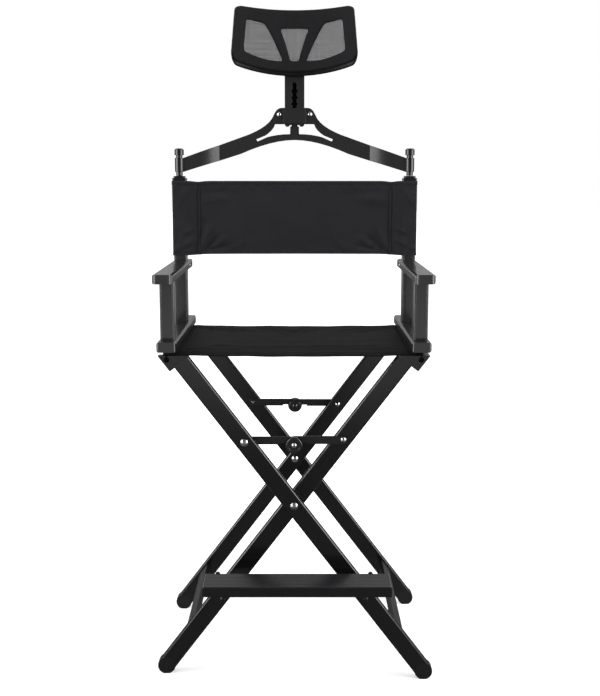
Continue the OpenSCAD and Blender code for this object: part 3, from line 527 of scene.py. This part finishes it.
# Stitches along a line: the tree resamples the line and sets a rounded thread piece at each point
def makeStitchTree():
    tree, inputs, curve = startTree("stitchLine", {"Pitch": 3.4, "Length": 2.4, "Radius": 0.4})
    values = {"Curve": curve, "Length": inputs["Pitch"]}
    points = addNode(tree, "GeometryNodeResampleCurve", values, mode="LENGTH")
    tangent = addNode(tree, "GeometryNodeInputTangent")
    turn = addNode(tree, "FunctionNodeAlignRotationToVector", {"Vector": tangent.outputs[0]}, axis="X")
    half = combine(tree, "MULTIPLY", inputs["Length"], 0.5)
    values = {"X": half, "Y": inputs["Radius"], "Z": inputs["Radius"]}
    size = addNode(tree, "ShaderNodeCombineXYZ", values)
    bead = addNode(tree, "GeometryNodeMeshIcoSphere", {"Radius": 1.0, "Subdivisions": 1})
    placed = addNode(tree, "GeometryNodeInstanceOnPoints", {
        "Points": points.outputs[0], "Instance": bead.outputs[0], "Rotation": turn.outputs[0],
        "Scale": size.outputs[0]})
    real = addNode(tree, "GeometryNodeRealizeInstances", {"Geometry": placed.outputs[0]})
    return endTree(tree, inputs, real.outputs[0])


stitchTree = makeStitchTree()


def applyTree(obj, tree, **values):
    modifier = obj.modifiers.new(tree.name, "NODES")
    modifier.node_group = tree
    sockets = {s.name: s.identifier for s in tree.interface.items_tree if s.in_out == "INPUT"}
    for name, value in values.items():
        modifier[sockets[name]] = value
    return bakeModifiers(obj)


def lineObject(name, lines):
    points, edges = [], []
    for line in lines:
        start = len(points)
        points += line
        edges += [(start + i, start + i + 1) for i in range(len(line) - 1)]
    mesh = bpy.data.meshes.new(name)
    mesh.from_pydata(points, edges, [])
    return newObject(name, mesh)


def stitchLines(name, lines, facts):
    return applyTree(lineObject(name, lines), stitchTree, Pitch=facts["stitchPitch"] * mm,
                     Length=facts["stitchLength"] * mm, Radius=facts["threadRadius"] * mm,
                     Thread=finishes["stitchThreadShadedDark"])


# Back cloth: a taut panel between two sleeves that go round the back posts, joined by double seams
backFacts = {
    "cloth": 1.2, "hemCloth": 2.4, "joinAt": 222, "seams": (212.8, 219.4), "topHem": 7.6, "lowHem": 5.4,
    "clearance": 0.5, "seamDepth": 3.0, "bow": 6.5, "step": 3.0, "fineStep": 0.9, "fineReach": 4,
    "rearHem": 12, "softCorner": 5.0, "tightCorner": 3.4, "sleeveStep": 2.6,
    "sleeveDrop": 2.6, "sleeveEase": (34, 30), "seamDip": 2.0, "dipAt": 4, "dipWidth": 13,
    "pucker": 2.0, "puckerGrain": (13, 40), "puckerAt": 5, "puckerReach": 7,
    "groove": 0.9, "grooveWidth": 1.2, "ridge": 0.55, "ridgeWidth": 2.4,
    "slack": 2.2, "slackGrain": (70, 42), "crease": 0.18, "creaseGrain": (15, 15),
    "foldGain": 3.0, "rightGain": 0.85, "rightStretch": 1.18, "sleeveDent": 0.4,
    "stitchPitch": 4.4, "stitchLength": 3.0, "threadRadius": 0.72, "hemEnds": 4,
}
# Folds at one end, as (from the join, above the hem, to, to, half width, height); positive is in the panel
panelFolds = [
    (8, 8, 30, 62, 6.0, 1.7), (14, 6, 46, 38, 5.0, -1.5), (38, 14, 66, 40, 6.0, 0.9),
    (28, 9, 74, 20, 4.5, -0.9), (76, 12, 110, 27, 6.0, 0.6), (5, 26, 14, 84, 4.5, -0.8),
    (10, 118, 70, 128, 9.0, 0.7), (20, 140, 96, 134, 8.0, -0.5), (-24, 50, -6, 62, 4.0, 0.9),
    (-27, 40, -7, 48, 3.5, -0.8), (-26, 22, -8, 36, 4.0, 1.0), (-28, 14, -10, 20, 3.0, -0.8),
    (-50, 8, -36, 20, 4.5, 0.8), (-46, 24, -40, 60, 5.0, -0.5), (-40, 112, -20, 150, 5.0, 0.5),
    (-20, 120, -8, 156, 4.0, -0.5),
]
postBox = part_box("left_back_post")
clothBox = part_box("back_cloth")
postX = -(postBox[0].x + postBox[1].x) / 2 / mm
postY = (postBox[0].y + postBox[1].y) / 2 / mm
postHalf = ((postBox[1].x - postBox[0].x) / 2 / mm, (postBox[1].y - postBox[0].y) / 2 / mm)
clothLow, clothHigh = clothBox[0].z / mm, clothBox[1].z / mm
clothSpan = clothHigh - clothLow
backShares = [(z - clothLow) / clothSpan for z in
              spacedRows(clothLow, clothHigh, backFacts["step"],
                         (clothLow + backFacts["lowHem"], clothHigh - backFacts["topHem"]))]
hemRows = [nearest([s * clothSpan for s in backShares], goal)
           for goal in (clothSpan - backFacts["topHem"], backFacts["lowHem"])]


def backDepth(x):  # depth of the panel's middle surface
    share = min(1.0, abs(x) / backFacts["joinAt"])
    return postY - backFacts["seamDepth"] + backFacts["bow"] * (1 - share * share)


def backEdges(x):
    f = backFacts
    sleeve = smoothStep(f["joinAt"] - f["sleeveEase"][0], f["joinAt"] + f["sleeveEase"][1], abs(x))
    dip = bell(abs(x) - f["joinAt"] + f["dipAt"], f["dipWidth"])
    return clothLow + f["sleeveDrop"] * (1 - sleeve), clothHigh - f["seamDip"] * dip


def backRelief(x, z, low, high):  # how far the front layer stands out, in mm
    f = backFacts
    end = f["joinAt"] - abs(x)
    gain, stretch = (1.0, 1.0) if x < 0 else (f["rightGain"], f["rightStretch"])
    height = gain * f["foldGain"] * foldHeight(panelFolds, end / stretch, z - low)
    for hem, edge in ((f["topHem"], high), (f["lowHem"], low)):
        away = abs(z - edge)
        wave = wobble(x, edge, f["puckerGrain"], 3.1)
        height += f["pucker"] * wave * bell(away - hem - f["puckerAt"], f["puckerReach"])
        height -= f["groove"] * bell(away - hem, f["grooveWidth"])
    for seam in f["seams"]:
        height -= f["groove"] * bell(abs(x) - seam, f["grooveWidth"])
    height += f["ridge"] * bell(abs(x) - sum(f["seams"]) / 2, f["ridgeWidth"])
    height += f["slack"] * wobble(x, z, f["slackGrain"], 1.7)
    height += f["crease"] * wobble(x, z, f["creaseGrain"], 5.2)
    return height if end > 0 else max(height, -f["sleeveDent"])  # a sleeve can't dent into its post


def backGrid(plan, facing):
    f = backFacts
    normals = sideways(plan)
    grid, thick = [], []
    for share in backShares:
        row, weights = [], []
        for point, normal in zip(plan, normals):
            low, high = backEdges(point.x)
            z = low + (high - low) * share
            front = max(0.0, -normal.y * facing)
            relief = backRelief(point.x, z, low, high) * front * front
            place = point + normal * facing * relief
            row.append(Vector((place.x, place.y, z)) * mm)
            hem = z > high - f["topHem"] - 1 or z < low + f["lowHem"] + 1
            weights.append(1.0 if hem else f["cloth"] / f["hemCloth"])
        grid.append(row)
        thick.append(weights)
    return grid, thick, normals


def backPiece(name, grid, thick):
    return clothFromGrid(name, grid, thick, backFacts["hemCloth"], finishes["backCanvas"])


def backStitch(grid, normals, facing, pick):  # a line on the front of the grid, lifted on to its face
    lift = (backFacts["hemCloth"] / 2 - 0.1) * facing * mm
    return [grid[r][c] + Vector((normals[c].x, normals[c].y, 0)) * lift for r, c in pick]


def makeBackPanel():
    f = backFacts
    columns = [-f["joinAt"]]
    while columns[-1] < f["joinAt"] - 0.01:
        here = columns[-1]
        near = any(abs(abs(here) - seam) < f["fineReach"] for seam in f["seams"])
        columns.append(min(f["joinAt"], here + (f["fineStep"] if near else f["step"])))
    grid, thick, normals = backGrid([Vector((x, backDepth(x))) for x in columns], -1)
    joins = (-f["seams"][1], -f["seams"][0], *f["seams"])
    picks = [[(r, nearest(columns, join)) for r in range(1, len(grid) - 1)] for join in joins]
    picks += [[(r, c) for c in range(f["hemEnds"], len(columns) - f["hemEnds"])] for r in hemRows]
    lines = [backStitch(grid, normals, -1, pick) for pick in picks]
    return backPiece("backPanel", grid, thick), stitchLines("backPanelStitches", lines, f)


def sleevePlan():  # the right sleeve round its post, and its rear hem behind the panel
    f = backFacts
    join, joinY = f["joinAt"], backDepth(f["joinAt"])
    halfW, halfD = [half + f["clearance"] + f["cloth"] / 2 for half in postHalf]
    behind = backDepth(join - f["rearHem"]) + f["cloth"] + f["hemCloth"] / 2 + 0.2
    inner, outer, soft, tight = postX - halfW, postX + halfW, f["softCorner"], f["tightCorner"]
    corners = [(join, joinY, 0), (inner, postY - halfD, soft), (outer, postY - halfD, tight),
               (outer, postY + halfD, tight), (inner, postY + halfD, soft),
               (join + 2, joinY + f["cloth"] + 1.4, 3.0), (join - f["rearHem"], behind, 0)]
    path = evenPath(roundedPath(corners), f["sleeveStep"])
    turnIn = max(i for i, p in enumerate(path) if p.x > join + 0.01)
    before, after = path[turnIn], path[turnIn + 1]
    meet = before.lerp(after, (before.x - join) / (before.x - after.x))
    return path[:turnIn + 1] + [meet], [meet] + path[turnIn + 1:]


def makeSleeve(side, name):
    around, rear = [[Vector((side * p.x, p.y)) for p in line] for line in sleevePlan()]
    facing = -side
    grid, thick, normals = backGrid(around, facing)
    sleeve = backPiece(name + "BackSleeve", grid, thick)
    front = [c for c in range(len(around)) if normals[c].y * facing < -0.8 and around[c].y < postY
             and abs(around[c].x) > backFacts["joinAt"] + 2]
    lines = [backStitch(grid, normals, facing, [(r, c) for c in front]) for r in hemRows]
    threads = stitchLines(name + "SleeveStitches", lines, backFacts)
    # The sleeve's hem behind the panel is sewn to it, so it follows the panel's folds
    grid, thick, normals = backGrid(rear, facing)
    for point in [p for row in grid for p in row]:
        x, z = point.x / mm, point.z / mm
        point.y -= backRelief(x, z, *backEdges(x)) * mm
    return sleeve, threads, backPiece(name + "BackHem", grid, thick)


backPanel, backThreads = makeBackPanel()
sleeves = {name: makeSleeve(side, name) for side, name in ((-1, "left"), (1, "right"))}
backHems = [hem for sleeve, threads, hem in sleeves.values()]
print("back cloth made", len(backPanel.data.polygons))

# When the chair folds, the right side frame comes this far towards the left one
foldFacts = {"hingeHeight": 690, "pivotHeight": 381, "turn": 27.5}


def foldsUp(piece):  # rides on the seat cloth's body, with a mesh of its own
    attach(piece, bodyOf["seat_cloth"])
    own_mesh(piece)


for piece in (backPanel, backThreads, *backHems):
    foldsUp(piece)
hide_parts("back_cloth")
for name, (sleeve, threads, hem) in sleeves.items():
    for piece in (sleeve, threads):
        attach(piece, name + "_side")


# Seat cloth: a panel that sags a little, with a loop round each hinge rod under the seat rails
seatFacts = {
    "cloth": 1.3, "hemCloth": 2.3, "joinAt": 238, "sag": 3.0, "sagReach": 245, "below": 1.2, "step": 4.0,
    "columns": 120, "rodLoop": 7.0, "loopFrom": 57.5, "loopSteps": 28, "frontDrop": 3.8, "frontTurn": 24,
    "hemStitch": 8.5, "rearStitch": 9, "stripRows": 9, "stripEnd": 256.5, "sideEnd": 248.3, "stripDrop": 0.8,
    "foldGain": 2.0, "foldEnds": (222, 240), "tautRear": 0.85, "tautFrom": (24, 5),
    "slack": 1.2, "slackGrain": (60, 75), "slackEnds": (215, 238), "crease": 0.2, "creaseGrain": (16, 20),
    "groove": 0.5, "grooveWidth": 1.2, "stitchPitch": 4.2, "stitchLength": 2.8, "threadRadius": 0.5,
}
# Folds of the seat, as (x, distance from the front edge, to, to, half width, height)
seatFolds = [
    (-66, 404, -8, 262, 9, 2.2), (-44, 402, 4, 290, 7, -1.8), (52, 404, 6, 268, 9, 2.0),
    (30, 400, 2, 300, 7, -1.6), (-100, 398, -60, 330, 9, -1.2), (92, 400, 50, 326, 9, -1.2),
    (-4, 408, 0, 330, 8, 1.6), (-228, 392, -90, 330, 11, 1.6), (-226, 366, -120, 300, 10, -1.3),
    (228, 392, 96, 338, 11, 1.5), (226, 360, 130, 300, 10, -1.2), (-200, 60, 190, 66, 9, 0.9),
    (-190, 86, 200, 92, 8, -0.8), (-180, 112, 190, 108, 9, 0.7), (-170, 150, 180, 158, 11, -0.6),
    (-232, 40, -150, 120, 9, 0.9), (232, 36, 160, 118, 9, 0.8),
]
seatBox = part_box("seat_cloth")
seatTop = seatBox[1].z / mm
seatFront, seatRear = seatBox[0].y / mm, seatBox[1].y / mm
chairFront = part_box("outer_front_leg")[0].y / mm
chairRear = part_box("outer_rear_leg")[1].y / mm
seatSeams = (seatFront + seatFacts["hemStitch"], seatRear - seatFacts["rearStitch"])
seatRows = spacedRows(seatFront, seatRear, seatFacts["step"], seatSeams)


def seatLevel(x, y):  # height of the middle surface of the seat
    f = seatFacts
    share = min(1.0, abs(x) / f["sagReach"])
    z = seatTop - f["below"] - f["sag"] * (1 - share * share)
    ahead = y - seatFront
    drop = f["frontDrop"] * (1 - smoothStep(2, f["frontTurn"], ahead))
    height = f["foldGain"] * foldHeight(seatFolds, x, ahead) * (1 - smoothStep(*f["foldEnds"], abs(x)))
    height *= 1 - f["tautRear"] * smoothStep(*f["tautFrom"], seatRear - y)  # the rear hem is taut
    loose = 1 - smoothStep(*f["slackEnds"], abs(x))
    height += f["slack"] * wobble(x, y, f["slackGrain"], 4.4) * loose
    height += f["crease"] * wobble(x, y, f["creaseGrain"], 8.8) * loose
    for stitch, edge in ((f["hemStitch"], seatFront), (f["rearStitch"], seatRear)):
        height -= f["groove"] * bell(abs(y - edge) - stitch, f["grooveWidth"])
    return z - drop + height


def seatPiece(name, grid, side=1, thick=None):
    f = seatFacts
    thick = thick or [[f["cloth"] / f["hemCloth"]] * len(row) for row in grid]
    return clothFromGrid(name, grid[::side], thick[::side], f["hemCloth"], finishes["seatCanvasShadedDarker"])


def makeSeatPanel():
    f = seatFacts
    columns = [-f["joinAt"] + i * 2 * f["joinAt"] / f["columns"] for i in range(f["columns"] + 1)]
    grid = [[Vector((x, y, seatLevel(x, y))) * mm for x in columns] for y in seatRows]
    inner = [seatSeams[0] + 1 <= y <= seatSeams[1] - 1 for y in seatRows]
    thick = [[f["cloth"] / f["hemCloth"] if thin else 1.0] * len(columns) for thin in inner]
    lift = f["hemCloth"] / 2 - 0.1
    lines = []
    for seam in seatSeams:
        y = seatRows[nearest(seatRows, seam)]
        lines.append([Vector((x, y, seatLevel(x, y) + lift)) * mm for x in columns])
    return seatPiece("seatPanel", grid, thick=thick), stitchLines("seatStitches", lines, f)


def loopSection():  # from the panel's edge over the rail's inner side and round the hinge rod
    f = seatFacts
    r, level, rodZ, inner = f["rodLoop"], seatTop - f["below"], foldFacts["hingeHeight"], postX - 0.4
    angles = [math.radians(8 + i * 344 / f["loopSteps"]) for i in range(f["loopSteps"] + 1)]
    loop = [Vector((postX + r * math.sin(a), rodZ + r * math.cos(a))) for a in angles]
    corners = [(f["joinAt"] + 2, level, 0), (inner, level, 2.6), (inner, rodZ + r + 1.5, 0.8), (*loop[0], 0)]
    return [Vector((f["joinAt"], 0))] + roundedPath(corners) + loop[1:]


def makeSeatSide(side, name):  # pieces of one side, each with its flat size
    f = seatFacts
    loopRows = [y for y in seatRows if chairFront + f["loopFrom"] <= y <= chairRear - f["loopFrom"]]
    section = loopSection()
    grid = [[Vector((side * p.x, y, seatLevel(side * p.x, y) if k == 0 else p.y)) * mm
             for k, p in enumerate(section)] for y in loopRows]
    pieces = [(seatPiece(name + "SeatLoop", grid, side), (0.066, (loopRows[-1] - loopRows[0]) * mm))]
    # strips that reach the keyhole slots, and narrow ones from there to the loops
    n = f["stripRows"]
    for end, limit, place in (("Front", "stripEnd", seatRows[:n]), ("Rear", "stripEnd", seatRows[-n:]),
                              ("FrontSide", "sideEnd", [y for y in seatRows[n - 1:] if y <= loopRows[0]]),
                              ("RearSide", "sideEnd", [y for y in seatRows[:1 - n] if y >= loopRows[-1]])):
        reach = [f["joinAt"] + i * (f[limit] - f["joinAt"]) / 8 for i in range(9)]
        drops = {x: f["stripDrop"] * smoothStep(248, 257, x) for x in reach}
        grid = [[Vector((side * x, y, seatLevel(side * x, y) - drops[x])) * mm for x in reach] for y in place]
        strip = seatPiece(name + "SeatStrip" + end, grid, side)
        pieces.append((strip, ((f[limit] - f["joinAt"]) * mm, (place[-1] - place[0]) * mm)))
    return pieces


seatPanel, seatThreads = makeSeatPanel()
for piece in (seatPanel, seatThreads):
    foldsUp(piece)
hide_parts("seat_cloth")
for side, name in ((-1, "left"), (1, "right")):
    for piece, flat in makeSeatSide(side, name):
        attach(piece, name + "_side")
print("seat cloth made", len(seatPanel.data.polygons))


# Headrest: a curved moulded shell with a padded knit cover on its front and open mesh in three windows
restFacts = {
    "width": 277, "height": 141, "horn": 6, "radius": 290, "depth": 13, "coverDepth": 7.5, "shellFrom": 6.0,
    "lowLift": 9.0, "sideInset": 2.5, "windowCorner": 5, "voxel": 2.0, "soften": 5, "tiltGap": 23.5,
    "earThick": 6, "earAt": 26, "earRoot": 18.5, "barrel": 7, "netPitch": 1.9, "netWidth": 1.24,
    "netStray": 0.22, "netOver": 0.3, "netEdge": 4.0,
}
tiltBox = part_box("tilt_pin")
tiltY = (tiltBox[0].y + tiltBox[1].y) / 2 / mm
tiltZ = (tiltBox[0].z + tiltBox[1].z) / 2 / mm
restCentreY = tiltY - restFacts["tiltGap"] - restFacts["radius"]


def mirrored(points):
    return [(-x, z) for x, z in points[::-1]]


def curvePoints(a, b, c, count=12):
    return [(a[0] * (1 - t) ** 2 + b[0] * 2 * t * (1 - t) + c[0] * t * t,
             a[1] * (1 - t) ** 2 + b[1] * 2 * t * (1 - t) + c[1] * t * t)
            for t in [i / count for i in range(count + 1)]]


def restOutline(inset=0.0, lift=0.0):
    f = restFacts
    half, top, low = f["width"] / 2 - inset, restTop, restTop - f["height"] + lift
    horn = top + f["horn"]
    right = curvePoints((0, top), (0.4 * half, top), (0.9 * half - 10, horn))
    right += curvePoints((0.9 * half - 10, horn), (0.94 * half, horn + 1), (0.945 * half, horn - 10), 6)[1:]
    right += curvePoints((half, low + 50), (half, low + 26), (half - 12, low + 20), 10)
    right += curvePoints((half - 12, low + 20), (0.5 * half, low + 1), (0, low))[1:]
    return right + mirrored(right[1:-1])


def restWindows(grow=0.0):  # outer windows and the middle one; grow widens them
    half, t, g = restFacts["width"] / 2, restTop, grow
    low = t - 109 - g
    right = [(0.755 * half + g, t - 21 + g)]
    right += curvePoints((0.48 * half - g, t - 29 + g), (0.35 * half - g, t - 55), (0.19 * half - g, low), 8)
    right += curvePoints((0.4 * half, low + 2), (0.6 * half, low + 8), (0.8 * half + g, low + 21), 6)
    middle = [(0.215 * half + g, t - 40 + g)]
    middle += curvePoints((0.215 * half + g, t - 44), (0.12 * half + g, t - 75), (0.065 * half + g, low), 6)
    return [right, mirrored(right), middle + mirrored(middle)]


def easedLoop(points, steps=4):  # every corner of a closed outline rounded
    out = []
    for i, (x, z) in enumerate(points):
        here = Vector((x, z))
        before, after = Vector(points[i - 1]) - here, Vector(points[(i + 1) % len(points)]) - here
        radius = min(restFacts["windowCorner"], 0.45 * before.length, 0.45 * after.length)
        if abs(before.angle(after) - math.pi) > 0.3:
            eased = easedCorner(here, before.normalized() * radius, after.normalized() * radius, steps)
            out += [(p.x, p.y) for p in eased]
        else:
            out.append((x, z))
    return out


def restPlace(x, z, inward):  # inward is the depth behind the front face
    reach = restFacts["radius"] + inward
    return Vector((x, restCentreY + math.sqrt(reach * reach - x * x), z)) * mm


def restPlate(name, loops, front, depth, finish, extra=None):
    curve = bpy.data.curves.new(name, "CURVE")
    curve.dimensions = "2D"
    curve.fill_mode = "BOTH"
    curve.extrude = depth / 2
    for loop in loops:
        spline = curve.splines.new("POLY")
        spline.points.add(len(loop) - 1)
        for point, (x, z) in zip(spline.points, loop):
            point.co = (x, z, 0, 1)
        spline.use_cyclic_u = True
    flat = newObject(name, curve)
    mesh = evaluatedMesh(flat)
    bpy.data.objects.remove(flat)
    bpy.data.curves.remove(curve)
    piece = newObject(name, mesh, finishes[finish])
    addModifier(piece, "REMESH", mode="VOXEL", voxel_size=restFacts["voxel"])
    addModifier(piece, "SMOOTH", factor=0.5, iterations=restFacts["soften"])
    bakeModifiers(piece)
    for vertex in piece.data.vertices:
        x, z, local = vertex.co
        vertex.co = restPlace(x, z, front + depth / 2 + local)
    work = bmesh.new()
    work.from_mesh(piece.data)
    if extra:
        extra(work)
    bmesh.ops.recalc_face_normals(work, faces=work.faces)
    work.to_mesh(piece.data)
    work.free()
    shadeSmooth(piece.data)
    return piece


def addEars(work):  # two plates behind the shell that hold the tilt pin
    f = restFacts
    root, barrel = tiltY - f["earRoot"], f["barrel"]
    arc = [math.radians(90 - 180 * i / 12) for i in range(13)]
    profile = [(root, tiltZ - barrel), (root, tiltZ + barrel)]
    profile += [(tiltY + barrel * math.cos(a), tiltZ + barrel * math.sin(a)) for a in arc]
    for middle in (-f["earAt"], f["earAt"]):
        rings = [[work.verts.new(Vector((x, y, z)) * mm) for y, z in profile]
                 for x in (middle - f["earThick"] / 2, middle + f["earThick"] / 2)]
        work.faces.new(rings[0])
        work.faces.new(rings[1][::-1])
        for i in range(len(profile)):
            j = (i + 1) % len(profile)
            work.faces.new((rings[0][i], rings[1][i], rings[1][j], rings[0][j]))


shellLoops = [restOutline()] + [easedLoop(w) for w in restWindows(1.0)]
coverLoops = [restOutline(restFacts["sideInset"], restFacts["lowLift"])]
coverLoops += [easedLoop(w) for w in restWindows()]
restShell = restPlate("headrestShell", shellLoops, restFacts["shellFrom"],
                      restFacts["depth"] - restFacts["shellFrom"], "shell", addEars)
restCover = restPlate("headrestCover", coverLoops, 0.0, restFacts["coverDepth"], "knit")
standFor(restShell, "headrest_frame")
standFor(restCover, "headrest_frame")


# Net threads: the tree gives each line a round section with five sides
def makeNetTree():
    tree, inputs, curve = startTree("netLines", {"Width": 1.1})
    values = {"Resolution": 5, "Radius": combine(tree, "MULTIPLY", inputs["Width"], 0.5)}
    section = addNode(tree, "GeometryNodeCurvePrimitiveCircle", values)
    values = {"Curve": curve, "Profile Curve": section.outputs[0], "Fill Caps": True}
    tube = addNode(tree, "GeometryNodeCurveToMesh", values)
    return endTree(tree, inputs, tube.outputs[0])


def crossings(loop, place, axis):  # where a line at this x or z enters and leaves a closed outline
    hits = []
    for i in range(len(loop)):
        a, b = loop[i - 1], loop[i]
        if (a[axis] - place) * (b[axis] - place) < 0:
            t = (place - a[axis]) / (b[axis] - a[axis])
            hits.append(a[1 - axis] + t * (b[1 - axis] - a[1 - axis]))
    return (min(hits), max(hits)) if len(hits) > 1 else None


def netThreads(loop, axis):  # threads of one direction across one window
    f = restFacts
    low, high = min(p[axis] for p in loop), max(p[axis] for p in loop)
    count = int((high - low) / f["netPitch"])
    inward = f["depth"] / 2 + (f["netOver"] if axis else -f["netOver"])
    lines = []
    for i in range(count):
        stray = random.uniform(-f["netStray"], f["netStray"])
        place = low + (i + 0.5) * (high - low) / count + stray
        span = crossings(loop, place, axis)
        if not span:
            continue
        pieces = max(2, int((span[1] - span[0]) / (6 if axis else 30)))  # level threads bend with the shell
        steps = [span[0] + (span[1] - span[0]) * k / pieces for k in range(pieces + 1)]
        lines.append([restPlace(*((step, place) if axis else (place, step)), inward) for step in steps])
    return lines


netLines = []
for loop in restWindows(restFacts["netEdge"]):
    netLines += netThreads(loop, 0) + netThreads(loop, 1)
restNet = applyTree(lineObject("headrestNet", netLines), makeNetTree(), Width=restFacts["netWidth"] * mm,
                    Thread=finishes["netThread"])
standFor(restNet, "headrest_mesh")
print("headrest made", len(restCover.data.polygons), len(restNet.data.polygons))


# Floor and light: white paper, tall soft boxes left and right
def seenBy(tree, *kinds):  # 1 for rays of these kinds
    path = addNode(tree, "ShaderNodeLightPath")
    total = path.outputs[kinds[0]]
    for name in kinds[1:]:
        total = combine(tree, "MAXIMUM", total, path.outputs[name])
    return total


def addShaders(tree, first, second):
    both = addNode(tree, "ShaderNodeAddShader")
    tree.links.new(first.outputs[0], both.inputs[0])
    tree.links.new(second.outputs[0], both.inputs[1])
    return both.outputs[0]


studioFacts = {"floorSize": 60.0, "glow": 0.42, "fill": 0.42, "paper": 0.7}
white = (1, 1, 1, 1)


def makeFloor():
    f = studioFacts
    half = f["floorSize"] / 2
    corners = [(-half, -half, 0), (half, -half, 0), (half, half, 0), (-half, half, 0)]
    mesh = bpy.data.meshes.new("paperFloor")
    mesh.from_pydata(corners, [], [(0, 1, 2, 3)])
    material = bpy.data.materials.new("paperFloor")
    tree = emptyTree(material)
    coords = addNode(tree, "ShaderNodeTexCoord").outputs["Object"]
    places = addNode(tree, "ShaderNodeSeparateXYZ", {"Vector": coords}).outputs
    away = addNode(tree, "ShaderNodeVectorMath", {0: coords}, operation="LENGTH").outputs["Value"]
    # Reflections see a darker studio floor, a little lighter in front and behind
    front = mapRange(tree, places["Y"], 0.04, 0.09, -3.5, -0.9)
    rear = mapRange(tree, places["Y"], 0.0, 0.17, -0.4, 1.5)
    dim = addNode(tree, "ShaderNodeBsdfDiffuse", {"Color": combine(tree, "ADD", front, rear)})
    # Far off it is bright in front, where faces above the seat mirror it, and to both sides, for corners
    across = combine(tree, "ABSOLUTE", places["X"])
    ahead = combine(tree, "MULTIPLY", mapRange(tree, places["Y"], 0.55, 0.0, -4.0, -2.2),
                    mapRange(tree, across, 1.0, 0.0, 1.0, 1.7))
    spread = combine(tree, "ADD", ahead, mapRange(tree, across, 0.0, 1.3, 2.2, 3.2))
    far = combine(tree, "MULTIPLY", spread, seenBy(tree, "Is Glossy Ray"))
    bounced = addShaders(tree, dim, addNode(tree, "ShaderNodeEmission", {"Color": white, "Strength": far}))
    # The camera sees white paper with a soft shadow round the feet
    level = mapRange(tree, away, f["glow"], 1.1, 0.5, 1.6)
    diffuse = addNode(tree, "ShaderNodeBsdfDiffuse", {"Color": (f["paper"],) * 3 + (1,)})
    light = addNode(tree, "ShaderNodeEmission", {"Color": white, "Strength": level})
    shown = addShaders(tree, diffuse, light)
    mix = addNode(tree, "ShaderNodeMixShader", {"Fac": seenBy(tree, "Is Camera Ray"), 1: bounced, 2: shown})
    addNode(tree, "ShaderNodeOutputMaterial", {"Surface": mix.outputs[0]})
    newObject("paperFloor", mesh, material)


def makeWorld():
    world = bpy.data.worlds.new("studio")
    bpy.context.scene.world = world
    tree = emptyTree(world)
    # The studio is dim on the photographer's side and white behind the chair, as reflections show it
    way = addNode(tree, "ShaderNodeTexCoord").outputs["Generated"]
    places = addNode(tree, "ShaderNodeSeparateXYZ", {"Vector": way}).outputs
    mirrorLevel = mapRange(tree, places["Y"], 0.16, 0.36, -0.2, 0.5)
    reflected = seenBy(tree, "Is Glossy Ray", "Is Transmission Ray")
    values = {"A": studioFacts["fill"], "B": mirrorLevel, "Factor": reflected}
    unseen = addNode(tree, "ShaderNodeMix", values).outputs[0]
    values = {"A": unseen, "B": 1.0, "Factor": seenBy(tree, "Is Camera Ray")}
    level = addNode(tree, "ShaderNodeMix", values).outputs[0]
    sky = addNode(tree, "ShaderNodeBackground", {"Color": white, "Strength": level})
    addNode(tree, "ShaderNodeOutputWorld", {"Surface": sky.outputs[0]})


def makeLamp(name, place, aim, size, watts):
    light = bpy.data.lights.new(name, "AREA")
    light.shape = "RECTANGLE"
    light.size, light.size_y = size
    light.energy = watts
    lamp = newObject(name, light)
    lamp.location = place
    lamp.rotation_euler = (Vector(aim) - Vector(place)).to_track_quat("-Z", "Y").to_euler()
    lamp.visible_camera = False


def makeCamera():
    # Worked out from the photograph: 1087 px focal length, 9 degrees down, front legs 2.178 m away
    facts = {"focalPixels": 1087, "pixelsHigh": 696, "pitch": 9.04, "height": 1.061, "distance": 2.178,
             "across": 0.0122}
    data = bpy.data.cameras.new("photoCamera")
    data.sensor_fit = "VERTICAL"
    data.sensor_height = 36
    data.lens = facts["focalPixels"] / facts["pixelsHigh"] * data.sensor_height
    camera = newObject("photoCamera", data)
    camera.location = (facts["across"], chairFront * mm - facts["distance"], facts["height"])
    camera.rotation_euler = (math.radians(90 - facts["pitch"]), 0, 0)
    bpy.context.scene.camera = camera


makeFloor()
makeWorld()
for side, name in ((-1, "left"), (1, "right")):
    makeLamp(name + "Box", (side * 2.3, -0.7, 1.9), (0, 0, 0.8), (1.6, 2.2), 72)
    makeLamp(name + "Strip", (side * 2.2, -2.0, 1.1), (0, 0, 0.8), (0.5, 2.2), 22)
makeLamp("topBox", (0, 0.3, 2.9), (0, 0, 0.6), (1.2, 0.8), 8)
makeLamp("rearBox", (0, 2.4, 2.3), (0, 0, 0.9), (2.4, 1.4), 20)
makeCamera()
bpy.context.scene.view_settings.view_transform = "Standard"
print("studio made")
